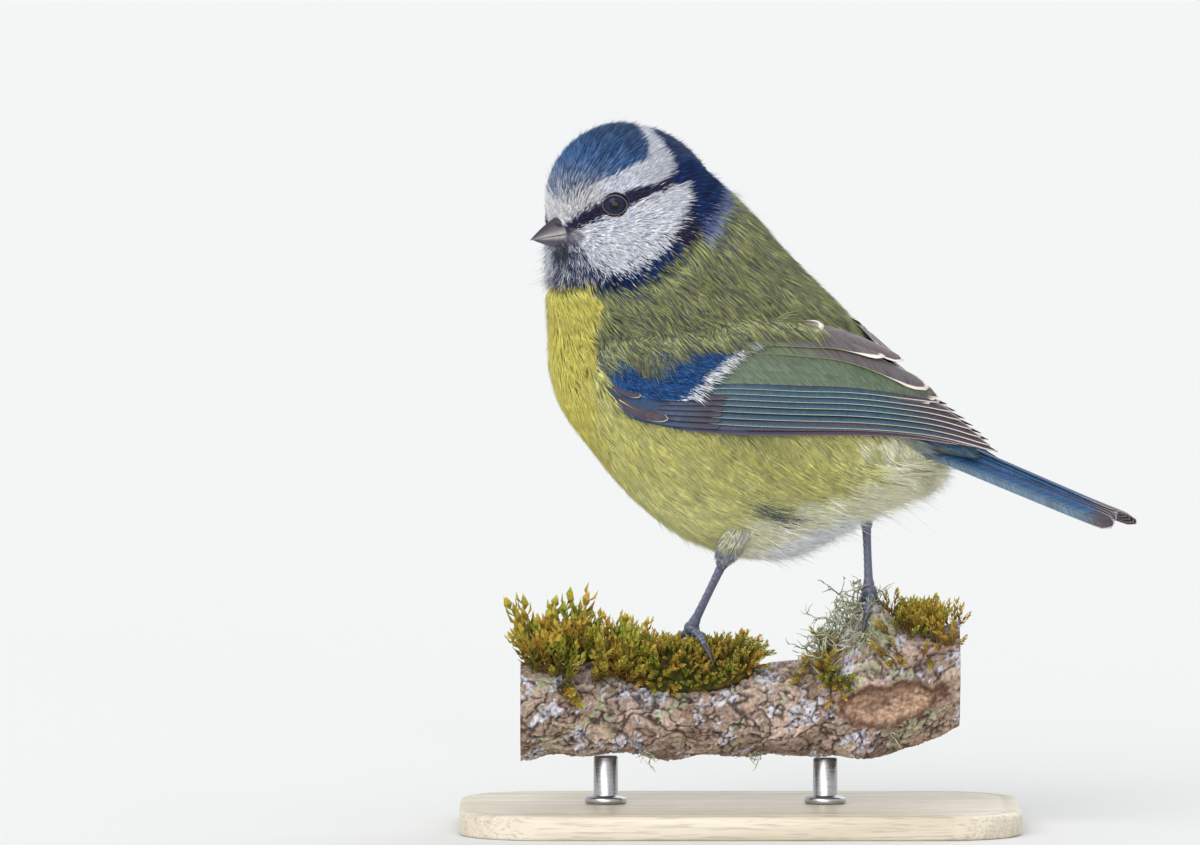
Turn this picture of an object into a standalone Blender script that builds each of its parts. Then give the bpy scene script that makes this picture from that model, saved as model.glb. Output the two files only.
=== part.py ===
"""Blue tit at life size, standing on a short cut length of branch that a display stand holds up.

Metres, +Z up. The origin is the middle of the stand's underside. The bird looks towards -X:
its body is turned a little towards +Y and its head a little towards -Y.
"""

import math

import bmesh
import bpy
import numpy as np
from mathutils import Vector
from mathutils.bvhtree import BVHTree

MM = 0.001
GAP = 0.3 * MM  # left between neighbouring pieces

# Headings, from -X. The body's own directions are aft, out (to the bird's left) and up.
BODY_HEADING = math.radians(28)
HEAD_HEADING = math.radians(-30)

# The torso at ten or so heights: height, front and back along the body, half width.
TORSO_LEVELS = MM * np.array([
    (44.4, 2.8, 3.6, 0.4),
    (45.0, -1.2, 8.0, 3.2),
    (46.0, -4.7, 11.2, 5.8),
    (48.0, -9.4, 15.3, 9.6),
    (50.5, -13.4, 19.5, 13.2),
    (54.0, -17.8, 25.8, 16.8),
    (58.0, -21.8, 33.0, 19.2),
    (61.5, -25.0, 36.0, 20.2),
    (65.0, -28.2, 34.6, 20.4),
    (70.0, -32.0, 31.0, 19.8),
    (77.5, -33.9, 25.0, 18.0),
    (86.0, -33.7, 17.8, 15.3),
    (92.0, -28.8, 10.6, 13.4),
    (98.0, -22.0, 4.0, 11.8),
    (104.0, -16.0, -2.4, 7.6),
    (108.0, -11.0, -6.5, 2.0),
])
TORSO_EGG = 0.14  # how much wider the front of a level is than its back

# The head is an egg on the body's middle plane, its lower half leaning forward to the chin.
HEAD_AFT = -20.4 * MM
HEAD_UP = 102.2 * MM
HEAD_HALF_LENGTH = 14.5 * MM
HEAD_HALF_WIDTH = 12.5 * MM
HEAD_ABOVE = 13.9 * MM
HEAD_BELOW = 16.5 * MM
HEAD_LEAN = 26.6  # per metre
NECK_BLEND = 1.6 * MM

BODY_SIDES = 36
BODY_RINGS = MM * np.array([
    44.7, 45.6, 47.0, 49.0, 51.2, 53.6, 56.0, 58.4, 60.8, 63.2, 65.6, 68.4, 71.4, 74.6, 77.8,
    81.0, 84.0, 86.6, 89.0, 91.4, 93.8, 96.2, 98.6, 101.0, 103.4, 105.6, 107.8, 109.8, 111.6,
    113.2, 114.5, 115.4, 115.9,
])

# Thin cuts part the head, the neck and the torso: height at the middle, and their slope.
CUT_SLOPE = math.radians(20)
HEAD_CUT_UP = 93.4 * MM
NECK_CUT_UP = 87.6 * MM
CUT_X = -12.0 * MM

# Eyes, in the head's own directions.
EYE_FORE = 8.9 * MM
EYE_UP = 102.0 * MM
EYE_RADIUS = 2.35 * MM
EYE_PROUD = 0.75 * MM
LID_HALF_LENGTH = 1.95 * MM
LID_HALF_HEIGHT = 1.65 * MM
LID_THICKNESS = 0.36 * MM

# Bill: it leaves the face at its root and narrows to the tip.
BILL_ROOT_FORE = 10.6 * MM
BILL_FACE_FORE = 13.0 * MM
BILL_TIP_FORE = 18.8 * MM
BILL_ROOT_UP = 97.6 * MM
BILL_TIP_UP = 96.4 * MM
BILL_HALF_WIDTH = 2.1 * MM
BILL_UPPER_DEPTH = 2.6 * MM
BILL_LOWER_DEPTH = 1.9 * MM
NOSTRIL_RADIUS = 0.34 * MM

# Folded wing: its lower edge, the middle of its breadth and its upper edge, from wrist to tip.
# A point on the flank is (aft, up) and takes its place out from the torso's own width, and
# past the body all three are given.
WING_STATIONS = (0.0, 0.2, 0.4, 0.6, 0.8, 1.0)
WING_LOWER_FLANK = MM * np.array([(-16.0, 74.8), (-8.0, 67.8), (7.0, 66.0), (22.0, 65.2)])
WING_LOWER_FREE = MM * np.array([(36.0, 9.0, 64.2), (49.0, 3.6, 61.8)])
WING_MIDDLE_FLANK = MM * np.array([(-16.5, 77.2), (-7.0, 76.2), (7.5, 77.6), (21.0, 75.6)])
WING_MIDDLE_FREE = MM * np.array([(35.0, 5.6, 69.9), (49.4, 2.9, 62.9)])
WING_UPPER_FLANK = MM * np.array([(-15.0, 79.8), (-3.0, 81.0), (8.5, 82.6), (17.5, 82.4)])
WING_UPPER_FREE = MM * np.array([(31.5, 1.4, 76.0), (48.4, 2.2, 64.2)])
WING_LIFT = 1.2 * MM
WING_CORE_END = 0.45
WING_CORE_OUT = 0.35 * MM
WING_CORE_IN = 0.5 * MM
WING_CORE_SINK = 0.5 * MM  # how far its outer face drops under the feathers, towards its aft end
WING_CORE_ALONG = 8
WING_CORE_ACROSS = 6
WING_MIDLINE = 0.45 * MM  # how near the body's middle plane a wing may come
RIGHT_WING_FORWARD = 1.3 * MM  # the right wing lies folded a little further forward

# Feathers: places along a vane, each with its share of the full half width.
VANE_PROFILE = ((0.0, 0.75), (0.3, 0.95), (0.6, 1.0), (0.82, 0.95), (0.94, 0.66), (1.0, 0.2))
COVERT_PROFILE = ((0.0, 0.6), (0.4, 0.95), (0.75, 1.0), (0.93, 0.7), (1.0, 0.25))
TAIL_PROFILE = ((0.0, 0.7), (0.5, 0.92), (0.93, 1.0), (0.98, 0.75), (1.0, 0.4))
VANE_THICKNESS = 0.5 * MM
VANE_TILT = 0.2
VANE_ROOT_LIFT = -0.08 * MM

# Tiers of the folded wing, lowest first: how many vanes, the first root and tip in the sheet's
# (along, across) with the step from each vane to the next, half width, lift, bend and profile.
WING_TIERS = (
    (5, (0.27, 0.03), (0.0, 0.058), (0.985, 0.45), (-0.027, 0.035), 0.95, -0.05, 3.2, VANE_PROFILE),
    (5, (0.27, 0.31), (0.0, 0.08), (0.85, 0.62), (-0.008, 0.05), 1.3, 0.12, 2.1, VANE_PROFILE),
    (3, (0.33, 0.68), (0.0, 0.1), (0.83, 0.84), (-0.1, 0.04), 1.75, 0.6, 1.0, VANE_PROFILE),
    (3, (0.2, 0.17), (0.0, 0.06), (0.425, 0.06), (0.0, 0.06), 0.95, 0.42, 1.0, COVERT_PROFILE),
    (5, (0.15, 0.3), (0.031, 0.105), (0.32, 0.26), (0.031, 0.105), 1.2, 0.62, 1.0, COVERT_PROFILE),
    (4, (0.07, 0.4), (0.045, 0.13), (0.19, 0.36), (0.045, 0.13), 1.45, 0.78, 1.0, COVERT_PROFILE),
    (2, (0.07, 0.3), (0.01, 0.1), (0.345, 0.115), (-0.105, 0.145), 0.9, 0.9, 1.0, COVERT_PROFILE),
)

# Tail: a folded fan that leaves the torso at a cut square to it.
TAIL_DROP = math.radians(18.9)
TAIL_ROOT_AFT = 31.5 * MM
TAIL_ROOT_UP = 66.6 * MM
TAIL_LENGTH = 41.5 * MM
TAIL_COVERT_LENGTH = 15.0 * MM
TAIL_VANE_START = 3.5 * MM
TAIL_PAIRS = 6
TAIL_VANE_STEP = 0.88 * MM
TAIL_VANE_DROP = 0.27 * MM
TAIL_VANE_HALF_WIDTH = 1.02 * MM
TAIL_LEAN = 0.16
TAIL_NOTCH = 1.2 * MM

# Perch: a cut length of branch along X, its middle line and its radius.
PERCH_STATIONS = MM * np.array([-36.0, -20.0, 0.0, 12.0, 21.0, 28.0, 36.0])
PERCH_UP = MM * np.array([19.0, 19.3, 19.3, 19.6, 20.6, 22.6, 25.4])
PERCH_RADIUS = MM * np.array([7.6, 7.2, 7.4, 7.8, 9.0, 9.0, 8.4])
PERCH_SIDES = 22
PERCH_RINGS = 25
PERCH_LUMPS = 0.35 * MM
KNOB_X = 21.0 * MM
KNOB_HEIGHT = 7.4 * MM
KNOB_ALONG = 4.0 * MM
KNOB_AROUND = 0.38

# Moss cushion under the left foot.
MOSS_X = -9.5 * MM
MOSS_HALF_LENGTH = 12.0 * MM
MOSS_HEIGHT = 4.2 * MM
MOSS_AROUND = 0.62

# Legs. Ankles are in the body's directions; feet stand on the perch, at a place along it.
ANKLES = {"left": (1.2 * MM, 8.0 * MM, 44.2 * MM), "right": (18.3 * MM, -9.8 * MM, 50.0 * MM)}
FOOT_X = {"left": -7.9 * MM, "right": 21.2 * MM}
THIGH_RADIUS = {"left": (2.8 * MM, 1.35 * MM), "right": (2.0 * MM, 1.1 * MM)}
TARSUS_RADIUS = 0.72 * MM
TOE_RADIUS = 0.62 * MM
TOE_STEP = 1.9 * MM
FRONT_TOE_STEPS = (4, 5, 4)
HIND_TOE_STEPS = 3
PALM_RADIUS = 1.25 * MM
CLAW_STEPS = 2
CLAW_RADIUS = 0.5 * MM

# Stand: a rounded base and two rods up to the perch.
BASE_LENGTH = 92.0 * MM
BASE_WIDTH = 56.0 * MM
BASE_HEIGHT = 4.0 * MM
BASE_CORNER = 14.0 * MM
BASE_EDGE = 1.0 * MM
ROD_X = {"left": -22.0 * MM, "right": 14.0 * MM}
ROD_RADIUS = 2.0 * MM


def clear_scene():
    for old in list(bpy.data.objects):
        bpy.data.objects.remove(old, do_unlink=True)


def finish(name, colour, roughness, metallic=0.0):
    """A Principled material."""
    made = bpy.data.materials.new(name)
    made.use_nodes = True
    shader = made.node_tree.nodes["Principled BSDF"]
    shader.inputs["Base Color"].default_value = (*colour, 1.0)
    shader.inputs["Roughness"].default_value = roughness
    shader.inputs["Metallic"].default_value = metallic
    return made


def smooth(x, knots, values):
    """A monotone cubic through the knots, so that nothing swings past a station."""
    knots = np.asarray(knots, float)
    values = np.asarray(values, float)
    step = np.diff(knots)
    slope = np.diff(values) / step
    tangent = np.zeros(len(values))
    tangent[0], tangent[-1] = slope[0], slope[-1]
    both = slope[:-1] + slope[1:]
    rising = slope[:-1] * slope[1:] > 0
    tangent[1:-1][rising] = 2 * (slope[:-1] * slope[1:])[rising] / both[rising]
    x = np.asarray(x, float)
    i = np.clip(np.searchsorted(knots, x, side="right") - 1, 0, len(step) - 1)
    t = np.clip((x - knots[i]) / step[i], 0, 1)
    start = (1 + 2 * t) * (1 - t) ** 2 * values[i] + t * (1 - t) ** 2 * step[i] * tangent[i]
    end = t * t * (3 - 2 * t) * values[i + 1] + t * t * (t - 1) * step[i] * tangent[i + 1]
    return start + end


def smooth_points(x, knots, points):
    return np.stack([smooth(x, knots, column) for column in np.asarray(points).T], axis=-1)


def ease(t):
    t = np.clip(t, 0, 1)
    return t * t * (3 - 2 * t)


def unit(vector):
    vector = np.asarray(vector, float)
    return vector / np.linalg.norm(vector, axis=-1, keepdims=True)


def body_point(aft, out, up):
    c, s = math.cos(BODY_HEADING), math.sin(BODY_HEADING)
    aft, out, up = np.broadcast_arrays(aft, out, up)
    return np.stack([aft * c - out * s, -aft * s - out * c, up], axis=-1).astype(float)


def body_coordinates(points):
    c, s = math.cos(BODY_HEADING), math.sin(BODY_HEADING)
    x, y, up = np.moveaxis(np.asarray(points, float), -1, 0)
    return x * c - y * s, -x * s - y * c, up


HEAD_CENTRE = body_point(HEAD_AFT, 0.0, HEAD_UP)


def head_point(fore, out, up):
    c, s = math.cos(HEAD_HEADING), math.sin(HEAD_HEADING)
    fore, out, up = np.broadcast_arrays(fore, out, up)
    x = HEAD_CENTRE[0] - fore * c - out * s
    y = HEAD_CENTRE[1] + fore * s - out * c
    return np.stack([x, y, up], axis=-1).astype(float)


def head_coordinates(points):
    c, s = math.cos(HEAD_HEADING), math.sin(HEAD_HEADING)
    x, y, up = np.moveaxis(np.asarray(points, float), -1, 0)
    x = x - HEAD_CENTRE[0]
    y = y - HEAD_CENTRE[1]
    return -x * c + y * s, -x * s - y * c, up


def torso_level(up):
    """Middle and reach along the body, and half width, at a height."""
    front, back, half = (smooth(up, TORSO_LEVELS[:, 0], TORSO_LEVELS[:, i]) for i in (1, 2, 3))
    return (front + back) / 2, (back - front) / 2, half


def torso_field(points):
    """Roughly the distance outside the torso, negative inside it."""
    aft, out, up = body_coordinates(points)
    middle, reach, half = torso_level(up)
    along = (aft - middle) / reach
    across = out / (half * (1 - TORSO_EGG * np.clip(along, -1, 1)))
    past = np.maximum(up - TORSO_LEVELS[-1, 0], TORSO_LEVELS[0, 0] - up)
    return (np.hypot(along, across) - 1) * np.minimum(reach, half) + np.maximum(past, 0)


def head_field(points):
    fore, out, up = head_coordinates(points)
    rise = up - HEAD_UP
    fore = fore - HEAD_LEAN * np.minimum(rise, 0) ** 2
    height = np.where(rise > 0, HEAD_ABOVE, HEAD_BELOW)
    ratio = (fore / HEAD_HALF_LENGTH) ** 2 + (out / HEAD_HALF_WIDTH) ** 2 + (rise / height) ** 2
    return (np.sqrt(ratio) - 1) * HEAD_HALF_WIDTH


def body_field(points):
    """Head and torso blended where they meet."""
    both = np.stack([torso_field(points), head_field(points)])
    lowest = both.min(axis=0)
    return lowest - NECK_BLEND * np.log(np.exp((lowest - both) / NECK_BLEND).sum(axis=0))


def flank_out(aft, up):
    """How far out the torso's side is at a place along it and a height."""
    middle, reach, half = torso_level(up)
    along = np.clip((aft - middle) / reach, -1, 1)
    return half * (1 - TORSO_EGG * along) * np.sqrt(1 - along**2)


def mesh_object(name, points, faces, material=None):
    mesh = bpy.data.meshes.new(name)
    mesh.from_pydata([tuple(point) for point in points], [], faces)
    made = bpy.data.objects.new(name, mesh)
    bpy.context.scene.collection.objects.link(made)
    edit(made, lambda shape: bmesh.ops.recalc_face_normals(shape, faces=shape.faces))
    if material:
        mesh.materials.append(material)
    mesh.shade_smooth()
    return made


def edit(target, change):
    """Runs a change on the object's mesh through bmesh."""
    shape = bmesh.new()
    shape.from_mesh(target.data)
    change(shape)
    shape.to_mesh(target.data)
    shape.free()
    target.data.update()


def remove(target):
    bpy.data.objects.remove(target, do_unlink=True)


def ring_faces(rings, sides, capped=(True, True)):
    """Faces of a tube of rings, each of so many points, with flat ends."""
    faces = []
    for ring in range(rings - 1):
        for side in range(sides):
            turn = (side + 1) % sides
            first, second = ring * sides, (ring + 1) * sides
            faces.append((first + side, first + turn, second + turn, second + side))
    if capped[0]:
        faces.append(tuple(range(sides))[::-1])
    if capped[1]:
        faces.append(tuple(range((rings - 1) * sides, rings * sides)))
    return faces


def tube(name, rings, material=None):
    """A closed solid through rings of points, all with the same number of sides."""
    rings = np.asarray(rings)
    count, sides, _ = rings.shape
    return mesh_object(name, rings.reshape(-1, 3), ring_faces(count, sides), material)


def side_frames(path, hint):
    """Two directions square to the path at each of its points, the first near the hint."""
    along = unit(np.gradient(path, axis=0))
    second = unit(np.cross(along, hint))
    first = np.cross(second, along)
    return first, second


def swept(name, path, halves, hint, sides, material=None):
    """A tube of oval rings along a path; halves are its half height and half width."""
    path = np.asarray(path, float)
    first, second = side_frames(path, hint)
    turn = 2 * math.pi * (np.arange(sides) + 0.5) / sides
    halves = np.asarray(halves, float)
    if halves.ndim == 1:
        halves = np.stack([halves, halves], axis=1)
    rise = np.cos(turn)[None, :, None] * halves[:, 0, None, None] * first[:, None, :]
    spread = np.sin(turn)[None, :, None] * halves[:, 1, None, None] * second[:, None, :]
    return tube(name, path[:, None, :] + rise + spread, material)


def collected(objects):
    group = bpy.data.collections.new("joined")
    for item in objects:
        group.objects.link(item)
    return group


def combine(target, operation, others):
    """One Boolean of the target with all the others, applied, and the others removed."""
    group = collected(others)
    modifier = target.modifiers.new("combined", "BOOLEAN")
    modifier.operation = operation
    modifier.operand_type = "COLLECTION"
    modifier.collection = group
    modifier.solver = "EXACT"
    bpy.context.view_layer.update()
    graph = bpy.context.evaluated_depsgraph_get()
    result = bpy.data.meshes.new_from_object(target.evaluated_get(graph))
    target.modifiers.remove(modifier)
    target.data = result
    for other in others:
        remove(other)
    bpy.data.collections.remove(group)
    keep_largest(target)
    return target


def keep_largest(target):
    """Keeps the largest closed surface of the mesh."""

    def drop_scraps(shape):
        left = set(shape.faces)
        shells = []
        while left:
            shell, edge = set(), [left.pop()]
            while edge:
                face = edge.pop()
                shell.add(face)
                near = {other for line in face.edges for other in line.link_faces}
                fresh = near & left
                left -= fresh
                edge.extend(fresh)
            shells.append(shell)
        shells.sort(key=lambda shell: sum(face.calc_area() for face in shell))
        scraps = [face for shell in shells[:-1] for face in shell]
        bmesh.ops.delete(shape, geom=scraps, context="FACES")

    edit(target, drop_scraps)


def cut_off(source, name, point, normal, material):
    """A copy of the closed source that keeps what lies behind the plane, its cut closed."""
    made = bpy.data.objects.new(name, source.data.copy())
    bpy.context.scene.collection.objects.link(made)

    def slice_shape(shape):
        everything = shape.verts[:] + shape.edges[:] + shape.faces[:]
        cut = bmesh.ops.bisect_plane(
            shape, geom=everything, plane_co=Vector(point), plane_no=Vector(normal), clear_outer=True
        )
        rim = [item for item in cut["geom_cut"] if isinstance(item, bmesh.types.BMEdge)]
        bmesh.ops.edgeloop_fill(shape, edges=rim)
        bmesh.ops.recalc_face_normals(shape, faces=shape.faces)

    edit(made, slice_shape)
    made.data.materials.clear()
    made.data.materials.append(material)
    return made


def body_surface():
    """Head, neck and torso as one closed surface, from level rings of the blended field."""
    turn = 2 * math.pi * np.arange(BODY_SIDES) / BODY_SIDES
    heading = body_point(np.cos(turn), np.sin(turn), 0.0)
    rings = []
    for up in BODY_RINGS:
        middle = torso_level(up)[0]
        raised = ease((up - 86 * MM) / (14 * MM))
        centre = body_point(middle + raised * (HEAD_AFT - middle), 0.0, up)
        near, far = np.zeros(BODY_SIDES), np.full(BODY_SIDES, 60 * MM)
        for _ in range(40):
            reach = (near + far) / 2
            inside = body_field(centre + reach[:, None] * heading) < 0
            near = np.where(inside, reach, near)
            far = np.where(inside, far, reach)
        rings.append(centre + near[:, None] * heading)
    rings = np.array(rings)
    points = rings.reshape(-1, 3)
    faces = ring_faces(len(rings), BODY_SIDES, capped=(False, False))
    bottom = body_point(3.2 * MM, 0.0, TORSO_LEVELS[0, 0])
    top = rings[-1].mean(axis=0) + (0, 0, HEAD_UP + HEAD_ABOVE - BODY_RINGS[-1])
    points = np.vstack([points, bottom, top])
    last = (len(rings) - 1) * BODY_SIDES
    for side in range(BODY_SIDES):
        turn_to = (side + 1) % BODY_SIDES
        faces.append((side, len(points) - 2, turn_to))
        faces.append((last + side, last + turn_to, len(points) - 1))
    return mesh_object("body", points, faces)


def wing_sheet(along, across):
    """A point on the folded wing's sheet, in the body's directions, for the left side."""
    lower = [(aft, flank_out(aft, up) + WING_LIFT, up) for aft, up in WING_LOWER_FLANK]
    middle = [(aft, flank_out(aft, up) + WING_LIFT, up) for aft, up in WING_MIDDLE_FLANK]
    upper = [(aft, flank_out(aft, up) + WING_LIFT, up) for aft, up in WING_UPPER_FLANK]
    lower = smooth_points(along, WING_STATIONS, np.vstack([lower, WING_LOWER_FREE]))
    middle = smooth_points(along, WING_STATIONS, np.vstack([middle, WING_MIDDLE_FREE]))
    upper = smooth_points(along, WING_STATIONS, np.vstack([upper, WING_UPPER_FREE]))
    t = np.asarray(across)[..., None]
    return lower * (1 - t) * (1 - 2 * t) + middle * 4 * t * (1 - t) + upper * t * (2 * t - 1)


def wing_normal(along, across):
    small = 1e-3
    a = wing_sheet(along + small, across) - wing_sheet(along - small, across)
    b = wing_sheet(along, across + small) - wing_sheet(along, across - small)
    normal = unit(np.cross(a, b))
    return normal * np.where(normal[..., 1:2] + normal[..., 2:3] < 0, -1.0, 1.0)


def wing_core(material):
    """The arm of the wing: a pad on the sheet that the feathers grow from."""
    along, across = np.meshgrid(
        np.linspace(0.0, WING_CORE_END, WING_CORE_ALONG),
        np.linspace(0.0, 1.0, WING_CORE_ACROSS), indexing="ij",
    )
    sheet = wing_sheet(along, across)
    normal = wing_normal(along, across)
    share = along / WING_CORE_END
    front = np.sqrt(np.clip(share * 8 + 0.25, 0, 1))[..., None]
    sunk = WING_CORE_SINK * ease((share - 0.4) / 0.5)[..., None]
    outer = sheet + normal * (front * WING_CORE_OUT - sunk)
    inner = sheet - normal * front * WING_CORE_IN
    rings = np.concatenate([outer, inner[:, ::-1]], axis=1)
    return tube("wing", rings, material)


def vane(frame_at, half_width, profile):
    """A feather: a thin tapering plate along the frames that are asked for.

    frame_at(share) gives its middle, the direction across it and its upper normal.
    """
    rings = []
    for share, breadth in profile:
        middle, across, upper = frame_at(share)
        reach = half_width * breadth * across
        depth = VANE_THICKNESS / 2 * (0.55 if share > 0.99 else 1.0) * upper
        rings.append([middle - reach - depth, middle + reach - depth,
                      middle + reach + depth, middle - reach + depth])
    made = tube("vane", rings)
    edit(made, lambda shape: bmesh.ops.triangulate(shape, faces=shape.faces))
    return made


def wing_vane(root, tip, half_width, lift, bend, profile):
    """A feather of the wing, from root to tip in the sheet's (along, across)."""

    def place(share):
        return root[0] + (tip[0] - root[0]) * share, root[1] + (tip[1] - root[1]) * share**bend

    def frame_at(share):
        here = wing_sheet(*place(share))
        normal = wing_normal(*place(share))
        along = wing_sheet(*place(min(share + 0.01, 1.0))) - wing_sheet(*place(min(share, 0.99)))
        across = unit(np.cross(normal, along))
        across *= 1 if across[2] > 0 else -1
        raised = VANE_ROOT_LIFT + (lift - VANE_ROOT_LIFT) * float(ease(share / 0.3))
        across = unit(across - VANE_TILT * normal)
        upper = unit(normal - (normal @ across) * across)
        return here + raised * normal, across, upper

    return vane(frame_at, half_width, profile)


def wing_vanes():
    """Every vane of the folded wing, tier by tier."""
    vanes = []
    for count, root, root_step, tip, tip_step, half_width, lift, bend, profile in WING_TIERS:
        for k in range(count):
            start = np.array(root) + k * np.array(root_step)
            end = np.array(tip) + k * np.array(tip_step)
            vanes.append(wing_vane(start, end, half_width * MM, lift * MM, bend, profile))
    return vanes


def wing(side, material):
    """A folded wing of overlapping vanes, fused to its arm at their roots."""
    made = combine(wing_core(material), "UNION", wing_vanes())
    mirror, slide = (1, 0.0) if side == "left" else (-1, RIGHT_WING_FORWARD)
    for vertex in made.data.vertices:
        aft, out, up = vertex.co
        vertex.co = body_point(aft - slide, mirror * max(out, WING_MIDLINE), up)
    made.name = "wing_" + side
    edit(made, lambda shape: bmesh.ops.recalc_face_normals(shape, faces=shape.faces))
    made.data.materials.clear()
    made.data.materials.append(material)
    made.data.shade_smooth()
    return made


def tuck_under(body, covers, clearance):
    """Moves the body's points in towards its middle line where a cover lies over them."""
    graph = bpy.context.evaluated_depsgraph_get()
    trees = [BVHTree.FromObject(cover, graph) for cover in covers]
    for vertex in body.data.vertices:
        aft, _, up = body_coordinates(np.array(vertex.co))
        axis = Vector(body_point(aft * 0.75, 0.0, min(max(up, 58 * MM), 78 * MM)))
        ray = vertex.co - axis
        reach = ray.length
        if reach < 2 * MM:
            continue
        ray.normalize()
        for tree in trees:
            hit = tree.ray_cast(axis, ray)[3]
            if hit is not None and hit - clearance < reach:
                vertex.co = axis + ray * (hit - clearance)
                reach = hit - clearance


def tail_frame():
    c, s = math.cos(TAIL_DROP), math.sin(TAIL_DROP)
    root = body_point(TAIL_ROOT_AFT, 0.0, TAIL_ROOT_UP)
    along = body_point(c, 0.0, -s)
    across = body_point(0.0, 1.0, 0.0)
    return root, along, across, np.cross(along, across) * -1


def tail(material):
    """A folded tail: feathers stepped down and out from the middle pair, rooted in their coverts."""
    root, along, across, upward = tail_frame()
    stations = TAIL_COVERT_LENGTH * np.array([0.0, 0.4, 0.8, 1.0])
    stations[0] = GAP
    path = root + stations[:, None] * along
    halves = MM * np.array([(3.4, 6.0), (2.9, 5.5), (1.7, 4.7), (0.8, 4.0)])
    made = swept("tail", path, halves, upward, 14, material)
    vanes = []
    for pair in range(TAIL_PAIRS):
        for side in (-1, 1):
            offset = side * (TAIL_VANE_STEP * pair + 0.6 * TAIL_VANE_STEP)
            drop = TAIL_VANE_DROP * (pair + (0.35 if side > 0 else 0.0))
            length = TAIL_LENGTH - TAIL_NOTCH * (1 - pair / (TAIL_PAIRS - 1))

            def frame_at(share, offset=offset, drop=drop, length=length, side=side):
                reach = TAIL_VANE_START + (length - TAIL_VANE_START) * share
                spread = 0.55 + 0.45 * share
                lean = unit(across - side * TAIL_LEAN * upward)
                middle = root + reach * along + offset * spread * across - drop * spread * upward
                return middle, lean, unit(upward + side * TAIL_LEAN * across)

            vanes.append(vane(frame_at, TAIL_VANE_HALF_WIDTH, TAIL_PROFILE))
    combine(made, "UNION", vanes)
    made.data.materials.clear()
    made.data.materials.append(material)
    made.data.shade_smooth()
    return made


def eye_place(side):
    """The eye's middle and the direction it looks."""
    out = 1 if side == "left" else -1
    reach = np.linspace(0, 14 * MM, 400)
    line = head_point(EYE_FORE, out * reach, EYE_UP)
    surface = line[np.argmax(body_field(line) > 0)]
    step = 0.05 * MM
    slope = [body_field(surface + step * axis) - body_field(surface - step * axis)
             for axis in np.eye(3)]
    normal = unit(slope)
    return surface + normal * (EYE_PROUD - EYE_RADIUS), normal


def ball(name, centre, radius, segments=12, rings=8, material=None):
    up = 2 * np.arange(1, rings) / rings - 1
    lift = np.sin(up * math.pi / 2)
    turn = 2 * math.pi * np.arange(segments) / segments
    points = [
        (math.sqrt(1 - z * z) * math.cos(a), math.sqrt(1 - z * z) * math.sin(a), z)
        for z in lift for a in turn
    ]
    faces = ring_faces(rings - 1, segments, capped=(False, False))
    last = (rings - 2) * segments
    for side in range(segments):
        turn_to = (side + 1) % segments
        faces.append((side, len(points), turn_to))
        faces.append((last + side, last + turn_to, len(points) + 1))
    points += [(0, 0, -1), (0, 0, 1)]
    return mesh_object(name, np.asarray(centre) + radius * np.array(points), faces, material)


def lid_ring(centre, normal):
    """The rim of the lids, an oval ring standing a little out of the face."""
    upright = unit(np.array([0, 0, 1.0]) - normal * normal[2])
    level = np.cross(normal, upright)
    ring, tube_sides = 16, 6
    points = []
    for step in range(ring):
        turn = 2 * math.pi * step / ring
        spoke = LID_HALF_LENGTH * math.cos(turn) * level + LID_HALF_HEIGHT * math.sin(turn) * upright
        bed = math.sqrt(EYE_RADIUS**2 - spoke @ spoke)
        middle = centre + spoke + normal * bed
        outward = unit(spoke)
        for corner in range(tube_sides):
            roll = 2 * math.pi * corner / tube_sides
            points.append(middle + LID_THICKNESS * (math.cos(roll) * outward + math.sin(roll) * normal))
    faces = ring_faces(ring, tube_sides, capped=(False, False))
    last = (ring - 1) * tube_sides
    for corner in range(tube_sides):
        turn_to = (corner + 1) % tube_sides
        faces.append((last + corner, last + turn_to, turn_to, corner))
    return mesh_object("lid", points, faces)


def bill_rings(depth_up, depth_down, swell, start_fore):
    """Rings of a mandible, from inside the face to the tip."""
    rings = []
    for t in (0.0, 0.22, 0.42, 0.62, 0.8, 0.93, 1.0):
        fore = start_fore + t * (BILL_TIP_FORE - start_fore)
        past = np.clip((fore - BILL_FACE_FORE) / (BILL_TIP_FORE - BILL_FACE_FORE), 0, 1)
        shrink = (1 - past**1.25) * 0.97 + 0.03
        middle = BILL_ROOT_UP + past * (BILL_TIP_UP - BILL_ROOT_UP)
        ring = []
        for roll in 2 * math.pi * np.arange(12) / 12:
            out = (BILL_HALF_WIDTH * shrink + swell) * math.cos(roll)
            rise = math.sin(roll)
            depth = depth_up if rise > 0 else depth_down
            ring.append(head_point(fore, out, middle + rise * (depth * shrink + swell)))
        rings.append(ring)
    return np.array(rings)


def bill_pieces(materials):
    upper = tube("bill_upper", bill_rings(BILL_UPPER_DEPTH, 0.02 * MM, 0.0, BILL_ROOT_FORE),
                 materials["bill"])
    lower_rings = bill_rings(0.02 * MM, BILL_LOWER_DEPTH, 0.0, BILL_ROOT_FORE)
    lower_rings[:, :, 2] -= GAP + 0.05 * MM
    lower_rings[-1] += 0.35 * (lower_rings[-2] - lower_rings[-1])
    lower = tube("bill_lower", lower_rings, materials["bill"])
    pits = []
    for out in (-1, 1):
        place = head_point(BILL_FACE_FORE + 1.2 * MM, out * 1.45 * MM, BILL_ROOT_UP + 1.35 * MM)
        pits.append(ball("pit", place, NOSTRIL_RADIUS, 8, 5))
    combine(upper, "DIFFERENCE", pits)
    return upper, lower


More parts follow.
